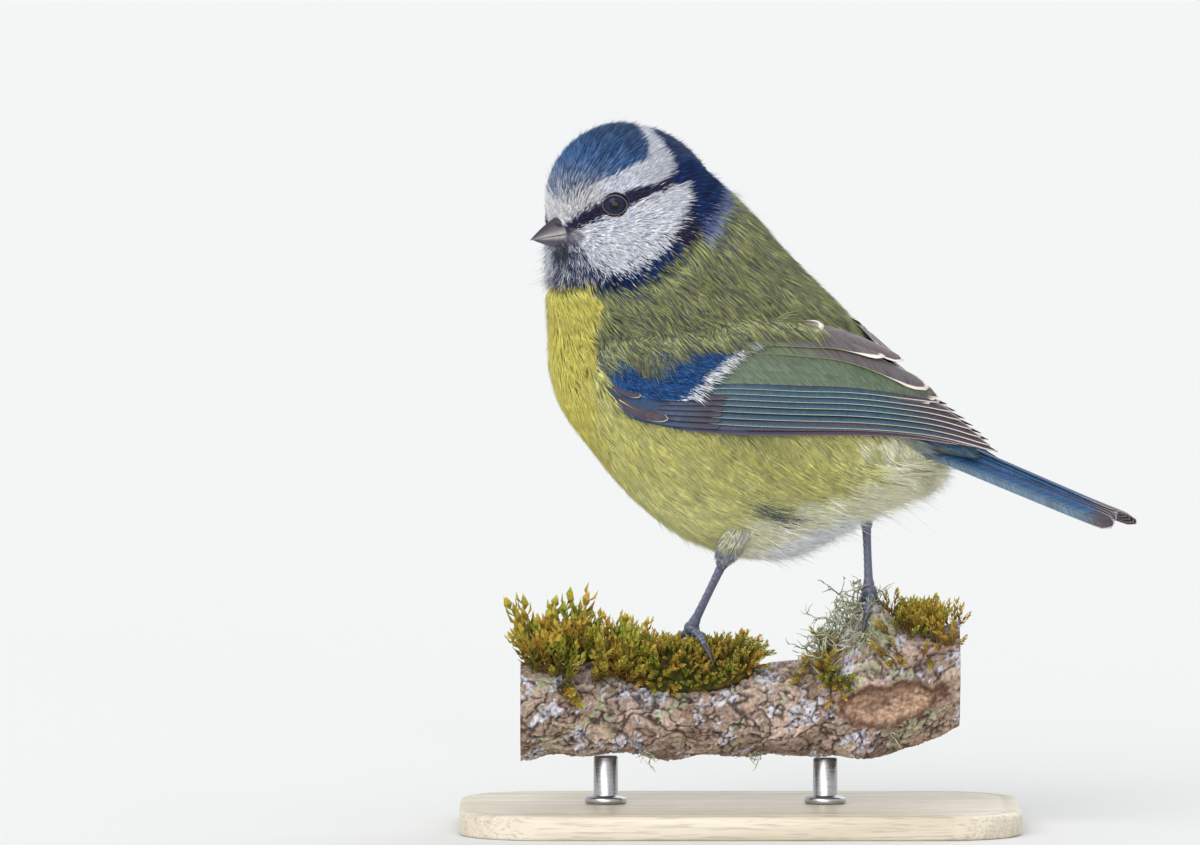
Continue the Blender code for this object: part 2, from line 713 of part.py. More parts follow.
def shape_head(head):
    """Cuts the sockets of the eyes and the bill, and adds the rims of the lids."""
    lids = []
    sockets = []
    for side in ("left", "right"):
        centre, normal = eye_place(side)
        lids.append(lid_ring(centre, normal))
        sockets.append(ball("socket", centre, EYE_RADIUS + GAP, 14, 10))
    combine(head, "UNION", lids)
    rings = bill_rings(BILL_UPPER_DEPTH, BILL_LOWER_DEPTH + GAP, GAP + 0.05 * MM, BILL_ROOT_FORE - GAP)
    sockets.append(tube("mouth", rings))
    combine(head, "DIFFERENCE", sockets)


def perch_radius(x, turn):
    """The bark's radius along the perch; turn 0 is its top, and rises towards +Y."""
    radius = smooth(x, PERCH_STATIONS, PERCH_RADIUS)
    ridges = np.sin(3 * turn + 160 * x) + 0.7 * np.sin(5 * turn - 310 * x + 1.0)
    knots = 0.8 * np.sin(2 * turn + 540 * x + 2.0)
    knob = KNOB_HEIGHT * np.exp(-0.5 * ((x - KNOB_X) / KNOB_ALONG) ** 2)
    return radius + PERCH_LUMPS * (ridges + knots) + knob * np.exp(-0.5 * (turn / KNOB_AROUND) ** 2)


def moss_height(x, turn):
    away = (x - MOSS_X) / MOSS_HALF_LENGTH
    if abs(away) >= 1:
        return 0.0
    return MOSS_HEIGHT * math.sqrt(1 - away**2) * math.exp(-0.5 * (turn / MOSS_AROUND) ** 2)


def perch_point(x, turn, lift):
    """A point outside the bark by a lift."""
    radius = perch_radius(x, turn) + lift
    up = float(smooth(x, PERCH_STATIONS, PERCH_UP))
    return np.array([x, radius * math.sin(turn), up + radius * math.cos(turn)])


def perch(material):
    rings = [
        [perch_point(x, 2 * math.pi * side / PERCH_SIDES, 0.0) for side in range(PERCH_SIDES)]
        for x in np.linspace(PERCH_STATIONS[0], PERCH_STATIONS[-1], PERCH_RINGS)
    ]
    return tube("perch_branch", rings, material)


def moss_cushion(material):
    """A closed pad that lies round the top of the bark, clear of it by the gap."""
    rings = []
    for x in MOSS_X + MOSS_HALF_LENGTH * np.sin(np.linspace(-0.46, 0.46, 13) * math.pi):
        spread = 0.3 + 0.8 * math.sqrt(1 - ((x - MOSS_X) / MOSS_HALF_LENGTH) ** 2)
        turns = np.linspace(-spread, spread, 11)
        above = [perch_point(x, turn, 2 * GAP + 0.5 * MM + moss_height(x, turn)) for turn in turns]
        below = [perch_point(x, turn, 1.3 * GAP) for turn in turns[::-1]]
        rings.append(above + below)
    return tube("perch_moss", rings, material)


def standing_lift(side, x, turn):
    """How far above the bark a toe's underside runs."""
    if side == "left":
        return 3 * GAP + 0.6 * MM + moss_height(x, turn)
    return 1.5 * GAP


def toe_path(side, start_x, drift, direction, steps):
    """The middle line of a toe and its claw, laid over the perch in steps of one length."""
    x, turn = start_x, 0.0
    path = []
    for step in range(steps + CLAW_STEPS + 1):
        past = max(step - steps, 0) / CLAW_STEPS
        thickness = TOE_RADIUS * (1 - 0.45 * past)
        path.append(perch_point(x, turn, standing_lift(side, x, turn) + thickness))
        slide = 0.02 * direction
        lift = standing_lift(side, x, turn + slide) + thickness
        pace = np.linalg.norm(perch_point(x, turn + slide, lift) - path[-1])
        turn += slide * TOE_STEP / pace
        x += drift * (1.0 if step else 0.4)
    return np.array(path)


def toe(name, path, hint):
    fine = np.linspace(0, len(path) - 1, 2 * len(path) - 1)
    middle = smooth_points(fine, np.arange(len(path)), path)
    swell = 1 + 0.16 * np.cos(2 * math.pi * fine)
    taper = 1 - 0.28 * fine / fine[-1]
    return swept(name, middle, TOE_RADIUS * swell * taper, hint, 6)


def claw(name, path, material):
    """A tapered claw that goes on from the end of a toe, along the last points of its line."""
    t = np.linspace(0, CLAW_STEPS, 6)
    heading = unit(path[1] - path[0])
    line = smooth_points(t, np.arange(CLAW_STEPS + 1), path)
    line[0] += heading * GAP
    radius = CLAW_RADIUS * (1 - (t / CLAW_STEPS) ** 1.4) + 0.06 * MM
    return swept(name, line, radius, np.array([1.0, 0, 0]), 6, material)


def leg(side, torso, materials):
    """Thigh, tarsus, foot and claws of one side."""
    sideways = np.array([1.0, 0, 0])
    ankle = body_point(*ANKLES[side])
    x = FOOT_X[side]
    palm = perch_point(x, 0.0, standing_lift(side, x, 0.0) + PALM_RADIUS)
    down = unit(palm - ankle)

    foot_parts = []
    toes = []
    for number, (offset, drift) in enumerate(((-0.5, -0.95), (0.0, -0.1), (0.5, 0.85))):
        path = toe_path(side, x + offset * MM, drift * MM, 1, FRONT_TOE_STEPS[number])
        toes.append((path, "claw_%s_%d" % (side, number + 2)))
    hind_drift = 0.75 if side == "left" else -0.35
    toes.append((toe_path(side, x + 0.3 * MM, hind_drift * MM, -1, HIND_TOE_STEPS),
                 "claw_%s_1" % side))
    for path, claw_name in toes:
        foot_parts.append(toe("toe", path[:-CLAW_STEPS], sideways))
        claw(claw_name, path[-CLAW_STEPS - 1:], materials["claw"])
    foot = ball("foot_" + side, palm, PALM_RADIUS, 10, 6, materials["leg"])
    combine(foot, "UNION", foot_parts)

    hem = ankle + down * 0.6 * MM
    top = palm - down * (PALM_RADIUS + GAP)
    t = np.array([0, 0.06, 0.14, 0.5, 0.86, 0.95, 1.0])
    line = hem + t[:, None] * (top - hem)
    bulge = np.array([1.3, 1.4, 1.05, 0.95, 1.05, 1.3, 1.15])
    swept("tarsus_" + side, line, TARSUS_RADIUS * bulge, sideways, 8, materials["leg"])
    thigh(side, torso, ankle, materials["belly"])


def thigh(side, torso, ankle, material):
    """The feathered end of the leg, its upper end laid against the belly."""
    graph = bpy.context.evaluated_depsgraph_get()
    tree = BVHTree.FromObject(torso, graph)
    sides = 10
    hem = ankle + np.array([0, 0, 0.6 * MM])
    turn = 2 * math.pi * np.arange(sides) / sides
    rings = []
    wide, narrow = THIGH_RADIUS[side]
    for share, radius in ((0.0, narrow), (0.45, 0.5 * (wide + narrow)), (1.0, wide)):
        ring = []
        for angle in turn:
            foot = hem + radius * np.array([math.cos(angle), math.sin(angle), 0])
            hit = tree.ray_cast(Vector(foot - (0, 0, 20 * MM)), Vector((0, 0, 1)))[0]
            ceiling = hit.z - 1.3 * GAP
            level = foot[2] + share * (ceiling - foot[2])
            ring.append((foot[0], foot[1], level))
        rings.append(ring)
    middles = [np.mean(ring, axis=0) for ring in (rings[0], rings[-1])]
    faces = ring_faces(len(rings), sides, capped=(False, False))
    points = np.vstack([np.reshape(rings, (-1, 3)), middles])
    last = (len(rings) - 1) * sides
    for corner in range(sides):
        turn_to = (corner + 1) % sides
        faces.append((corner, len(points) - 2, turn_to))
        faces.append((last + corner, last + turn_to, len(points) - 1))
    made = mesh_object("thigh_" + side, points, faces, material)
    edit(made, lambda shape: bmesh.ops.triangulate(shape, faces=shape.faces))
    return made


def stand_base(material):
    """A flat plate with round corners and an eased edge."""
    points = []
    for corner in range(4):
        cx = (BASE_LENGTH / 2 - BASE_CORNER) * (1 if corner in (0, 3) else -1)
        cy = (BASE_WIDTH / 2 - BASE_CORNER) * (1 if corner < 2 else -1)
        for step in range(7):
            angle = math.pi / 2 * (corner + step / 6)
            points.append((cx, cy, angle))
    rings = []
    for inset, up in ((0, 0), (0, BASE_HEIGHT - BASE_EDGE), (0.3 * BASE_EDGE, BASE_HEIGHT - 0.3 * BASE_EDGE),
                      (BASE_EDGE, BASE_HEIGHT)):
        reach = BASE_CORNER - inset
        rings.append([(cx + reach * math.cos(a), cy + reach * math.sin(a), up) for cx, cy, a in points])
    return tube("stand_base", rings, material)


def stand_rod(side, branch, material):
    graph = bpy.context.evaluated_depsgraph_get()
    tree = BVHTree.FromObject(branch, graph)
    x = ROD_X[side]
    turn = 2 * math.pi * np.arange(12) / 12
    feet = [(x + ROD_RADIUS * math.cos(a), ROD_RADIUS * math.sin(a)) for a in turn] + [(x, 0.0)]
    ceiling = min(tree.ray_cast(Vector((px, py, 0)), Vector((0, 0, 1)))[0].z for px, py in feet)
    rings = [[(px, py, up) for px, py in feet[:-1]] for up in (BASE_HEIGHT + GAP, ceiling - GAP)]
    return tube("stand_rod_" + side, rings, material)


def main():
    clear_scene()
    materials = {
        "head": finish("white and blue face", (0.55, 0.62, 0.70), 0.85),
        "neck": finish("dark blue collar", (0.03, 0.05, 0.16), 0.85),
        "torso": finish("yellow and green body", (0.50, 0.46, 0.10), 0.9),
        "belly": finish("pale thigh down", (0.55, 0.54, 0.40), 0.95),
        "wing": finish("blue wing", (0.06, 0.16, 0.30), 0.6),
        "tail": finish("blue tail", (0.05, 0.16, 0.32), 0.6),
        "eye": finish("dark eye", (0.01, 0.01, 0.012), 0.08),
        "bill": finish("slate bill", (0.12, 0.12, 0.13), 0.4),
        "leg": finish("blue grey legs", (0.12, 0.14, 0.20), 0.55),
        "claw": finish("grey claws", (0.14, 0.14, 0.15), 0.4),
        "bark": finish("bark", (0.30, 0.20, 0.15), 0.95),
        "moss": finish("moss", (0.22, 0.18, 0.03), 0.95),
        "base": finish("base", (0.16, 0.10, 0.06), 0.5),
        "rod": finish("rod", (0.55, 0.53, 0.50), 0.3, 1.0),
    }
    wings = [wing(side, materials["wing"]) for side in ("left", "right")]
    body = body_surface()
    tuck_under(body, wings, 1.6 * GAP)

    tilt = np.array([-math.sin(CUT_SLOPE), 0, math.cos(CUT_SLOPE)])
    head_cut = np.array([CUT_X, 0, HEAD_CUT_UP])
    neck_cut = np.array([CUT_X, 0, NECK_CUT_UP])
    tail_root, tail_along, _, _ = tail_frame()
    head = cut_off(body, "head", head_cut + tilt * GAP / 2, -tilt, materials["head"])
    below = cut_off(body, "below", head_cut - tilt * GAP / 2, tilt, materials["neck"])
    neck = cut_off(below, "neck", neck_cut + tilt * GAP / 2, -tilt, materials["neck"])
    whole = cut_off(below, "whole", neck_cut - tilt * GAP / 2, tilt, materials["torso"])
    torso = cut_off(whole, "torso", tail_root, tail_along, materials["torso"])
    for scrap in (body, below, whole):
        remove(scrap)
    shape_head(head)
    head.data.materials.clear()
    head.data.materials.append(materials["head"])
    bill_pieces(materials)
    for side in ("left", "right"):
        centre, _ = eye_place(side)
        ball("eye_" + side, centre, EYE_RADIUS, 14, 9, materials["eye"])
    tail(materials["tail"])

    branch = perch(materials["bark"])
    moss_cushion(materials["moss"])
    for side in ("left", "right"):
        leg(side, torso, materials)
        stand_rod(side, branch, materials["rod"])
    stand_base(materials["base"])


main()
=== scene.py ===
import math

import bpy
import numpy as np
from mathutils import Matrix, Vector
from mathutils.bvhtree import BVHTree


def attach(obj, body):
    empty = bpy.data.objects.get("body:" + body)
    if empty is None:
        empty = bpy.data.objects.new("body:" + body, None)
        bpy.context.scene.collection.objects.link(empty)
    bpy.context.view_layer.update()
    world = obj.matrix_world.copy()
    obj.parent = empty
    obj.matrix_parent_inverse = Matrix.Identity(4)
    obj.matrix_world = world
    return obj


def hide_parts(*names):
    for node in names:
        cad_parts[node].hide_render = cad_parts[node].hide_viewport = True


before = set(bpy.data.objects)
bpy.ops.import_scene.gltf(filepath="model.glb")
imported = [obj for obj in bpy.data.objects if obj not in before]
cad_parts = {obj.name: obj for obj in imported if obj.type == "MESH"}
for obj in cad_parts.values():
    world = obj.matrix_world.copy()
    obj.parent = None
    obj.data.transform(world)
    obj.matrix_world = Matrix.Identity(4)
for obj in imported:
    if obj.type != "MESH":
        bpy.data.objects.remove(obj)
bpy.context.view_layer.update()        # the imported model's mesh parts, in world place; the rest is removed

mm = 0.001

# maths that every piece uses


def paint(red, green, blue):       # 0-255 as on a screen, to the linear colour that light adds up in
    value = np.array([red, green, blue], float) / 255
    return np.where(value <= 0.04045, value / 12.92, ((value + 0.055) / 1.055) ** 2.4)


def ease(t):
    t = np.clip(t, 0, 1)
    return t * t * (3 - 2 * t)


def unit(vector):
    vector = np.asarray(vector, float)
    return vector / np.maximum(np.linalg.norm(vector, axis=-1, keepdims=True), 1e-12)


def mixed(first, second, share):   # some way from the first value to the second
    return first * (1 - share) + second * share


def turnsOf(sides):                # even angles round a ring
    return 2 * math.pi * np.arange(sides) / sides


def smooth(x, knots, values):      # monotone cubic through the knots
    knots, values = np.asarray(knots, float), np.asarray(values, float)
    step = np.diff(knots)
    slope = np.diff(values) / step
    tangent = np.zeros(len(values))
    tangent[0], tangent[-1] = slope[0], slope[-1]
    both = slope[:-1] + slope[1:]
    rising = slope[:-1] * slope[1:] > 0
    tangent[1:-1][rising] = 2 * (slope[:-1] * slope[1:])[rising] / both[rising]
    x = np.asarray(x, float)
    i = np.clip(np.searchsorted(knots, x, side="right") - 1, 0, len(step) - 1)
    t = np.clip((x - knots[i]) / step[i], 0, 1)
    start = (1 + 2 * t) * (1 - t) ** 2 * values[i] + t * (1 - t) ** 2 * step[i] * tangent[i]
    end = t * t * (3 - 2 * t) * values[i + 1] + t * t * (t - 1) * step[i] * tangent[i + 1]
    return start + end


def smoothPoints(x, knots, points):
    return np.stack([smooth(x, knots, column) for column in np.asarray(points, float).T], axis=-1)


def ripple(points, size, seed, waves=7):   # a soft wandering value from -1 to 1, one wave about size long
    rng = np.random.default_rng(seed)
    total = np.zeros(len(points))
    for k in range(waves):
        way = unit(rng.normal(size=3)) * 2 * math.pi / (size * rng.uniform(0.7, 1.5))
        bend = 0.8 * np.sin(points @ (unit(rng.normal(size=3)) * math.pi / size) + k)
        total += np.sin(points @ way + bend + rng.uniform(0, 6.28))
    return np.clip(total / math.sqrt(waves), -1.6, 1.6) / 1.6


# directions of the bird: its body and its head are turned apart

bodyHeading, headHeading = math.radians(28), math.radians(-30)
headAft, headUp = -20.4 * mm, 102.2 * mm


def bodyPoint(aft, out, up):
    c, s = math.cos(bodyHeading), math.sin(bodyHeading)
    aft, out, up = np.broadcast_arrays(aft, out, up)
    return np.stack([aft * c - out * s, -aft * s - out * c, up], axis=-1).astype(float)


def bodyPlace(points):
    c, s = math.cos(bodyHeading), math.sin(bodyHeading)
    x, y, up = np.moveaxis(np.asarray(points, float), -1, 0)
    return x * c - y * s, -x * s - y * c, up


headCentre = bodyPoint(headAft, 0.0, headUp)


def headPoint(fore, out, up):
    c, s = math.cos(headHeading), math.sin(headHeading)
    fore, out, up = np.broadcast_arrays(fore, out, up)
    return np.stack([headCentre[0] - fore * c - out * s, headCentre[1] + fore * s - out * c, up],
                    axis=-1).astype(float)


def headPlace(points):
    c, s = math.cos(headHeading), math.sin(headHeading)
    x, y, up = np.moveaxis(np.asarray(points, float), -1, 0)
    x, y = x - headCentre[0], y - headCentre[1]
    return -x * c + y * s, -x * s - y * c, up


# the bird's form: torso by height, and an egg for the head, blended

torsoLevels = mm * np.array([      # height, front, back, half width
    (44.4, 2.8, 3.6, 0.4), (45.0, -1.2, 8.0, 3.2), (46.0, -4.7, 11.2, 5.8), (48.0, -9.4, 15.3, 9.6),
    (50.5, -13.4, 19.5, 13.2), (54.0, -17.8, 25.8, 16.8), (58.0, -21.8, 33.0, 19.2),
    (61.5, -25.0, 36.0, 20.2), (65.0, -28.2, 34.6, 20.4), (70.0, -32.0, 31.0, 19.8),
    (77.5, -33.9, 25.0, 18.0), (86.0, -33.7, 17.8, 15.3), (92.0, -28.8, 10.6, 13.4),
    (98.0, -22.0, 4.0, 11.8), (104.0, -16.0, -2.4, 7.6), (108.0, -11.0, -6.5, 2.0)])
bodyForm = {"egg": 0.14, "headHalfLength": 14.5 * mm, "headHalfWidth": 12.5 * mm, "headAbove": 13.9 * mm,
            "headBelow": 16.5 * mm, "headLean": 26.6, "neckBlend": 1.6 * mm}


def torsoLevel(up):
    front, back, half = (smooth(up, torsoLevels[:, 0], torsoLevels[:, i]) for i in (1, 2, 3))
    return (front + back) / 2, (back - front) / 2, half


def bodyField(points):             # about the distance outside the bird, negative inside
    aft, out, up = bodyPlace(points)
    middle, reach, half = torsoLevel(up)
    along = (aft - middle) / reach
    across = out / (half * (1 - bodyForm["egg"] * np.clip(along, -1, 1)))
    past = np.maximum(up - torsoLevels[-1, 0], torsoLevels[0, 0] - up)
    torso = (np.hypot(along, across) - 1) * np.minimum(reach, half) + np.maximum(past, 0)
    fore, side, high = headPlace(points)
    rise = high - headUp
    fore = fore - bodyForm["headLean"] * np.minimum(rise, 0) ** 2
    height = np.where(rise > 0, bodyForm["headAbove"], bodyForm["headBelow"])
    ratio = (fore / bodyForm["headHalfLength"]) ** 2 + (side / bodyForm["headHalfWidth"]) ** 2
    head = (np.sqrt(ratio + (rise / height) ** 2) - 1) * bodyForm["headHalfWidth"]
    both = np.stack([torso, head])
    lowest = both.min(axis=0)
    blend = bodyForm["neckBlend"]
    return lowest - blend * np.log(np.exp((lowest - both) / blend).sum(axis=0))


def bodySlope(points, step=0.25 * mm):
    slope = np.stack([bodyField(points + step * axis) - bodyField(points - step * axis)
                      for axis in np.eye(3)], axis=-1) / (2 * step)
    return unit(slope), np.linalg.norm(slope, axis=-1)


def outwards(points):              # outward direction, and the true distance to the form
    direction, steepness = bodySlope(points)
    return direction, bodyField(points) / np.maximum(steepness, 0.35)


def flankOut(aft, up):
    middle, reach, half = torsoLevel(up)
    along = np.clip((aft - middle) / reach, -1, 1)
    return half * (1 - bodyForm["egg"] * along) * np.sqrt(1 - along**2)


# the folded wing's sheet, for the left side in the body's directions

wingForm = {
    "stations": (0.0, 0.2, 0.4, 0.6, 0.8, 1.0), "lift": 1.2 * mm, "middlePlane": 0.45 * mm,
    "rightForward": 1.3 * mm,
    "lowerFlank": mm * np.array([(-16.0, 74.8), (-8.0, 67.8), (7.0, 66.0), (22.0, 65.2)]),
    "lowerFree": mm * np.array([(36.0, 9.0, 64.2), (49.0, 3.6, 61.8)]),
    "middleFlank": mm * np.array([(-16.5, 77.2), (-7.0, 76.2), (7.5, 77.6), (21.0, 75.6)]),
    "middleFree": mm * np.array([(35.0, 5.6, 69.9), (49.4, 2.9, 62.9)]),
    "upperFlank": mm * np.array([(-15.0, 79.8), (-3.0, 81.0), (8.5, 82.6), (17.5, 82.4)]),
    "upperFree": mm * np.array([(31.5, 1.4, 76.0), (48.4, 2.2, 64.2)]),
}


def wingEdge(name, along):
    flank = [(aft, flankOut(aft, up) + wingForm["lift"], up) for aft, up in wingForm[name + "Flank"]]
    return smoothPoints(along, wingForm["stations"], np.vstack([flank, wingForm[name + "Free"]]))


def wingSheet(along, across):
    lower, middle, upper = (wingEdge(name, along) for name in ("lower", "middle", "upper"))
    t = np.asarray(across)[..., None]
    return lower * (1 - t) * (1 - 2 * t) + middle * 4 * t * (1 - t) + upper * t * (2 * t - 1)


def wingNormal(along, across):
    small = 1e-3
    a = wingSheet(along + small, across) - wingSheet(along - small, across)
    b = wingSheet(along, across + small) - wingSheet(along, across - small)
    normal = unit(np.cross(a, b))
    return normal * np.where(normal[..., 1:2] + normal[..., 2:3] < 0, -1.0, 1.0)


def wingToWorld(points, side):     # from the left wing's own directions to a place on either side
    aft, out, up = np.moveaxis(np.asarray(points, float), -1, 0)
    if side == "left":
        return bodyPoint(aft, np.maximum(out, wingForm["middlePlane"]), up)
    return bodyPoint(aft - wingForm["rightForward"], -np.maximum(out, wingForm["middlePlane"]), up)


# meshes from arrays


# faces is one array of triangles or quads, or a list of them; more holds named vectors, one a point
def pieceFromArrays(name, points, faces, materials, uv=None, tint=None, smoothShade=True, more=()):
    faces = [np.asarray(f) for f in (faces if isinstance(faces, list) else [faces])]
    corners = np.concatenate([f.reshape(-1) for f in faces]).astype(np.int32)
    sizes = np.concatenate([np.full(len(f), f.shape[1]) for f in faces])
    mesh = bpy.data.meshes.new(name)
    mesh.vertices.add(len(points))
    mesh.vertices.foreach_set("co", np.asarray(points, np.float32).reshape(-1))
    mesh.loops.add(len(corners))
    mesh.loops.foreach_set("vertex_index", corners)
    mesh.polygons.add(len(sizes))
    mesh.polygons.foreach_set("loop_start", (np.cumsum(sizes) - sizes).astype(np.int32))
    mesh.polygons.foreach_set("use_smooth", np.full(len(sizes), smoothShade))
    for material in materials if isinstance(materials, (list, tuple)) else [materials]:
        mesh.materials.append(material)
    if uv is not None:
        layer = mesh.uv_layers.new(name="OFBake")
        layer.data.foreach_set("uv", np.asarray(uv, np.float32)[corners].reshape(-1))
    if tint is not None:
        attribute = mesh.color_attributes.new("tint", "FLOAT_COLOR", "POINT")
        colour = np.ones((len(points), 4), np.float32)
        colour[:, :3] = tint
        attribute.data.foreach_set("color", colour.reshape(-1))
    for key, vectors in dict(more).items():
        attribute = mesh.attributes.new(key, "FLOAT_VECTOR", "POINT")
        attribute.data.foreach_set("vector", np.asarray(vectors, np.float32).reshape(-1))
    mesh.update(calc_edges=True)
    mesh.validate()
    return placed(name, mesh)


def placed(name, data):            # an object of this data, in the scene
    made = bpy.data.objects.new(name, data)
    bpy.context.scene.collection.objects.link(made)
    return made


def joined(parts):                 # several (points, faces, ...) made one; faces must have one size
    total, faces = 0, []
    for part in parts:
        faces.append(part[1] + total)
        total += len(part[0])
    return [np.concatenate([p[0] for p in parts]), np.concatenate(faces)] + [
        np.concatenate([p[k] for p in parts]) for k in range(2, len(parts[0]))]


def endFans(rows, sides, total):   # triangles that close the first and last ring at the last two points
    step = np.arange(sides)
    turnTo = (step + 1) % sides
    last = (rows - 1) * sides
    return np.vstack([np.stack([turnTo, step, np.full(sides, total - 2)], 1),
                      np.stack([last + step, last + turnTo, np.full(sides, total - 1)], 1)])


def tubeArrays(rings):             # a closed tube through rings x sides x 3, with a point in each end
    rows, sides = rings.shape[:2]
    ends = np.stack([rings[0].mean(axis=0), rings[-1].mean(axis=0)])
    points = np.vstack([rings.reshape(-1, 3), ends])
    quads = gridFaces(rows, sides, closed=True)
    faces = np.vstack([quads[:, [0, 1, 2]], quads[:, [0, 2, 3]], endFans(rows, sides, len(points))])
    corner = points[faces]
    volume = np.einsum("ij,ij->i", corner[:, 0], np.cross(corner[:, 1], corner[:, 2])).sum()
    return points, faces[:, ::-1] if volume < 0 else faces


def tintEnds(tint):                # the colours of a tube's rings, and of the two points in its ends
    return np.vstack([tint.reshape(-1, 3), tint[0].mean(axis=0), tint[-1].mean(axis=0)])


def sweptRings(path, radii, hint, sides, squash=1.0):   # round rings square to a path
    along = unit(np.gradient(path, axis=0))
    across = unit(np.cross(along, np.broadcast_to(hint, along.shape)))
    upper = np.cross(across, along)
    turn = turnsOf(sides)
    radii = np.broadcast_to(radii, len(path))[:, None, None]
    spoke = np.cos(turn)[:, None] * across[:, None] + squash * np.sin(turn)[:, None] * upper[:, None]
    return path[:, None] + radii * spoke


# quads of a grid of points, row by row; closed joins the last column to the first
def gridFaces(rows, columns, closed=False, flip=False):
    r, c = np.meshgrid(np.arange(rows - 1), np.arange(columns if closed else columns - 1), indexing="ij")
    r, c = r.reshape(-1), c.reshape(-1)
    right = (c + 1) % columns
    quads = np.stack([r * columns + c, r * columns + right, (r + 1) * columns + right,
                      (r + 1) * columns + c], axis=1)
    return quads[:, ::-1] if flip else quads


def settle(piece, slot, *nodes):
    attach(piece, "root")
    if nodes:
        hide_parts(*nodes)
    return piece


# materials


# a Principled material, with plain values set on the shader's own sockets
def newMaterial(name, roughness, **sockets):
    made = bpy.data.materials.new(name)
    made.use_nodes = True
    shader = made.node_tree.nodes["Principled BSDF"]
    shader.inputs["Roughness"].default_value = roughness
    for socket, value in sockets.items():
        shader.inputs[socket.replace("_", " ")].default_value = value
    return made, made.node_tree, shader


def node(tree, kind, **values):
    made = tree.nodes.new(kind)
    for key, value in values.items():
        if key in made.inputs:
            made.inputs[key].default_value = value
        else:
            setattr(made, key, value)
    return made


def noise(tree, scale, detail=4.0, roughness=0.55, vector=None):
    made = node(tree, "ShaderNodeTexNoise", Scale=scale, Detail=detail, Roughness=roughness)
    if vector is None:
        vector = tree.nodes.new("ShaderNodeTexCoord").outputs["Object"]
    tree.links.new(vector, made.inputs["Vector"])
    return made.outputs["Fac"]


def ramp(tree, source, stops):
    made = tree.nodes.new("ShaderNodeValToRGB")
    tree.links.new(source, made.inputs["Fac"])
    elements = made.color_ramp.elements
    while len(elements) < len(stops):
        elements.new(0.5)
    for element, (place, colour) in zip(elements, stops):
        element.position = place
        element.color = (*colour, 1.0) if hasattr(colour, "__len__") else (colour, colour, colour, 1.0)
    return made.outputs["Color"]


def mixColours(tree, factor, first, second, blend="MIX"):
    made = tree.nodes.new("ShaderNodeMix")
    made.data_type = "RGBA"
    made.blend_type = blend
    for socket, value in ((made.inputs[0], factor), (made.inputs[6], first), (made.inputs[7], second)):
        if isinstance(value, bpy.types.NodeSocket):
            tree.links.new(value, socket)
        elif hasattr(value, "__len__"):
            socket.default_value = (*value, 1.0)[:4]
        else:
            socket.default_value = value
    return made.outputs[2]


def addBump(tree, shader, height, distance, strength=1.0):
    made = tree.nodes.new("ShaderNodeBump")
    made.inputs["Distance"].default_value = distance
    made.inputs["Strength"].default_value = strength
    tree.links.new(height, made.inputs["Height"])
    earlier = shader.inputs["Normal"].links
    if earlier:
        tree.links.new(earlier[0].from_socket, made.inputs["Normal"])
    tree.links.new(made.outputs["Normal"], shader.inputs["Normal"])


def attributeColour(tree, name="tint", output="Color"):
    made = tree.nodes.new("ShaderNodeAttribute")
    made.attribute_name = name
    return made.outputs[output]


def splitVector(tree, vector):     # the three numbers of a vector
    made = tree.nodes.new("ShaderNodeSeparateXYZ")
    tree.links.new(vector, made.inputs[0])
    return made.outputs


def stretched(tree, vector, scale):     # a vector scaled by axis
    made = tree.nodes.new("ShaderNodeMapping")
    made.inputs["Scale"].default_value = scale
    tree.links.new(vector, made.inputs["Vector"])
    return made.outputs["Vector"]


def shaded(tree, colour, source, stops):    # a colour darkened and lightened by a value
    return mixColours(tree, 1.0, colour, ramp(tree, source, stops), "MULTIPLY")


# the piece's own tint with a fine grain in its colour and its surface
def grainyMaterial(name, roughness, scale, detail, stops, depth, strength, **sockets):
    made, tree, shader = newMaterial(name, roughness, **sockets)
    grain = noise(tree, scale, detail)
    tree.links.new(shaded(tree, attributeColour(tree), grain, stops), shader.inputs["Base Color"])
    addBump(tree, shader, grain, depth, strength)
    return made


# markings of the plumage, as outlines in degrees round the head's middle: turn from the bill, rise

marking = {
    "cap": [(-10, 6.5), (1.6, 6.9), (15.6, 9.6), (27.8, 13.6), (37.6, 18.4), (49.1, 23.4), (58.3, 29.9),
            (68.7, 35.1), (76.4, 37.1), (81.1, 43.8), (85, 54.8), (86.5, 66), (86.5, 76), (100, 83),
            (185, 88), (185, 95), (-10, 95)],
    "brow": [(-10, -15), (10, -14), (14.7, -9.8), (20.4, -7), (31.6, -1), (40.1, 4), (57, 10.7), (73.7, 15.9),
             (91, 21), (101.2, 25), (106.2, 33), (109.5, 44), (112, 53.6), (114.5, 61.3), (120, 67),
             (132, 72), (150, 75), (185, 77), (185, 95), (-10, 95)],
    "cheek": [(15, -17.5), (24, -13.6), (33, -11.2), (38, -7.6), (50, -3.2), (61, 1.2), (72.9, 7.2),
              (88, 12.8), (105.9, 18.4), (105, 15), (102.5, 9.6), (99.5, 3.5), (95.8, -1.5), (91, -8),
              (87, -13), (80.7, -21.3),
              (73.5, -27.7), (65.6, -33.9), (56.9, -37.1), (46.9, -38.4), (37.9, -37.6), (30.2, -33.4),
              (24, -27.3), (19, -23)],
    "bib": [(-10, -16), (12, -17), (16, -19), (20, -25), (24, -27.3), (30.2, -33.4), (37.9, -37.6),
            (44, -38.4), (44, -41.5), (33, -42.8), (20, -43.2), (-10, -43.6)],
    "hood": [(-10, -45), (20, -44.5), (33, -44), (47, -43), (57, -41.2), (65.3, -38.4), (72.8, -33.7),
             (79.9, -27.1), (88, -18.8), (93.7, -13.5), (100.7, -6.9), (108.7, -0.8), (118.3, 4.9),
             (128.4, 10.3), (150, 14), (185, 15), (185, 95), (-10, 95)],
}
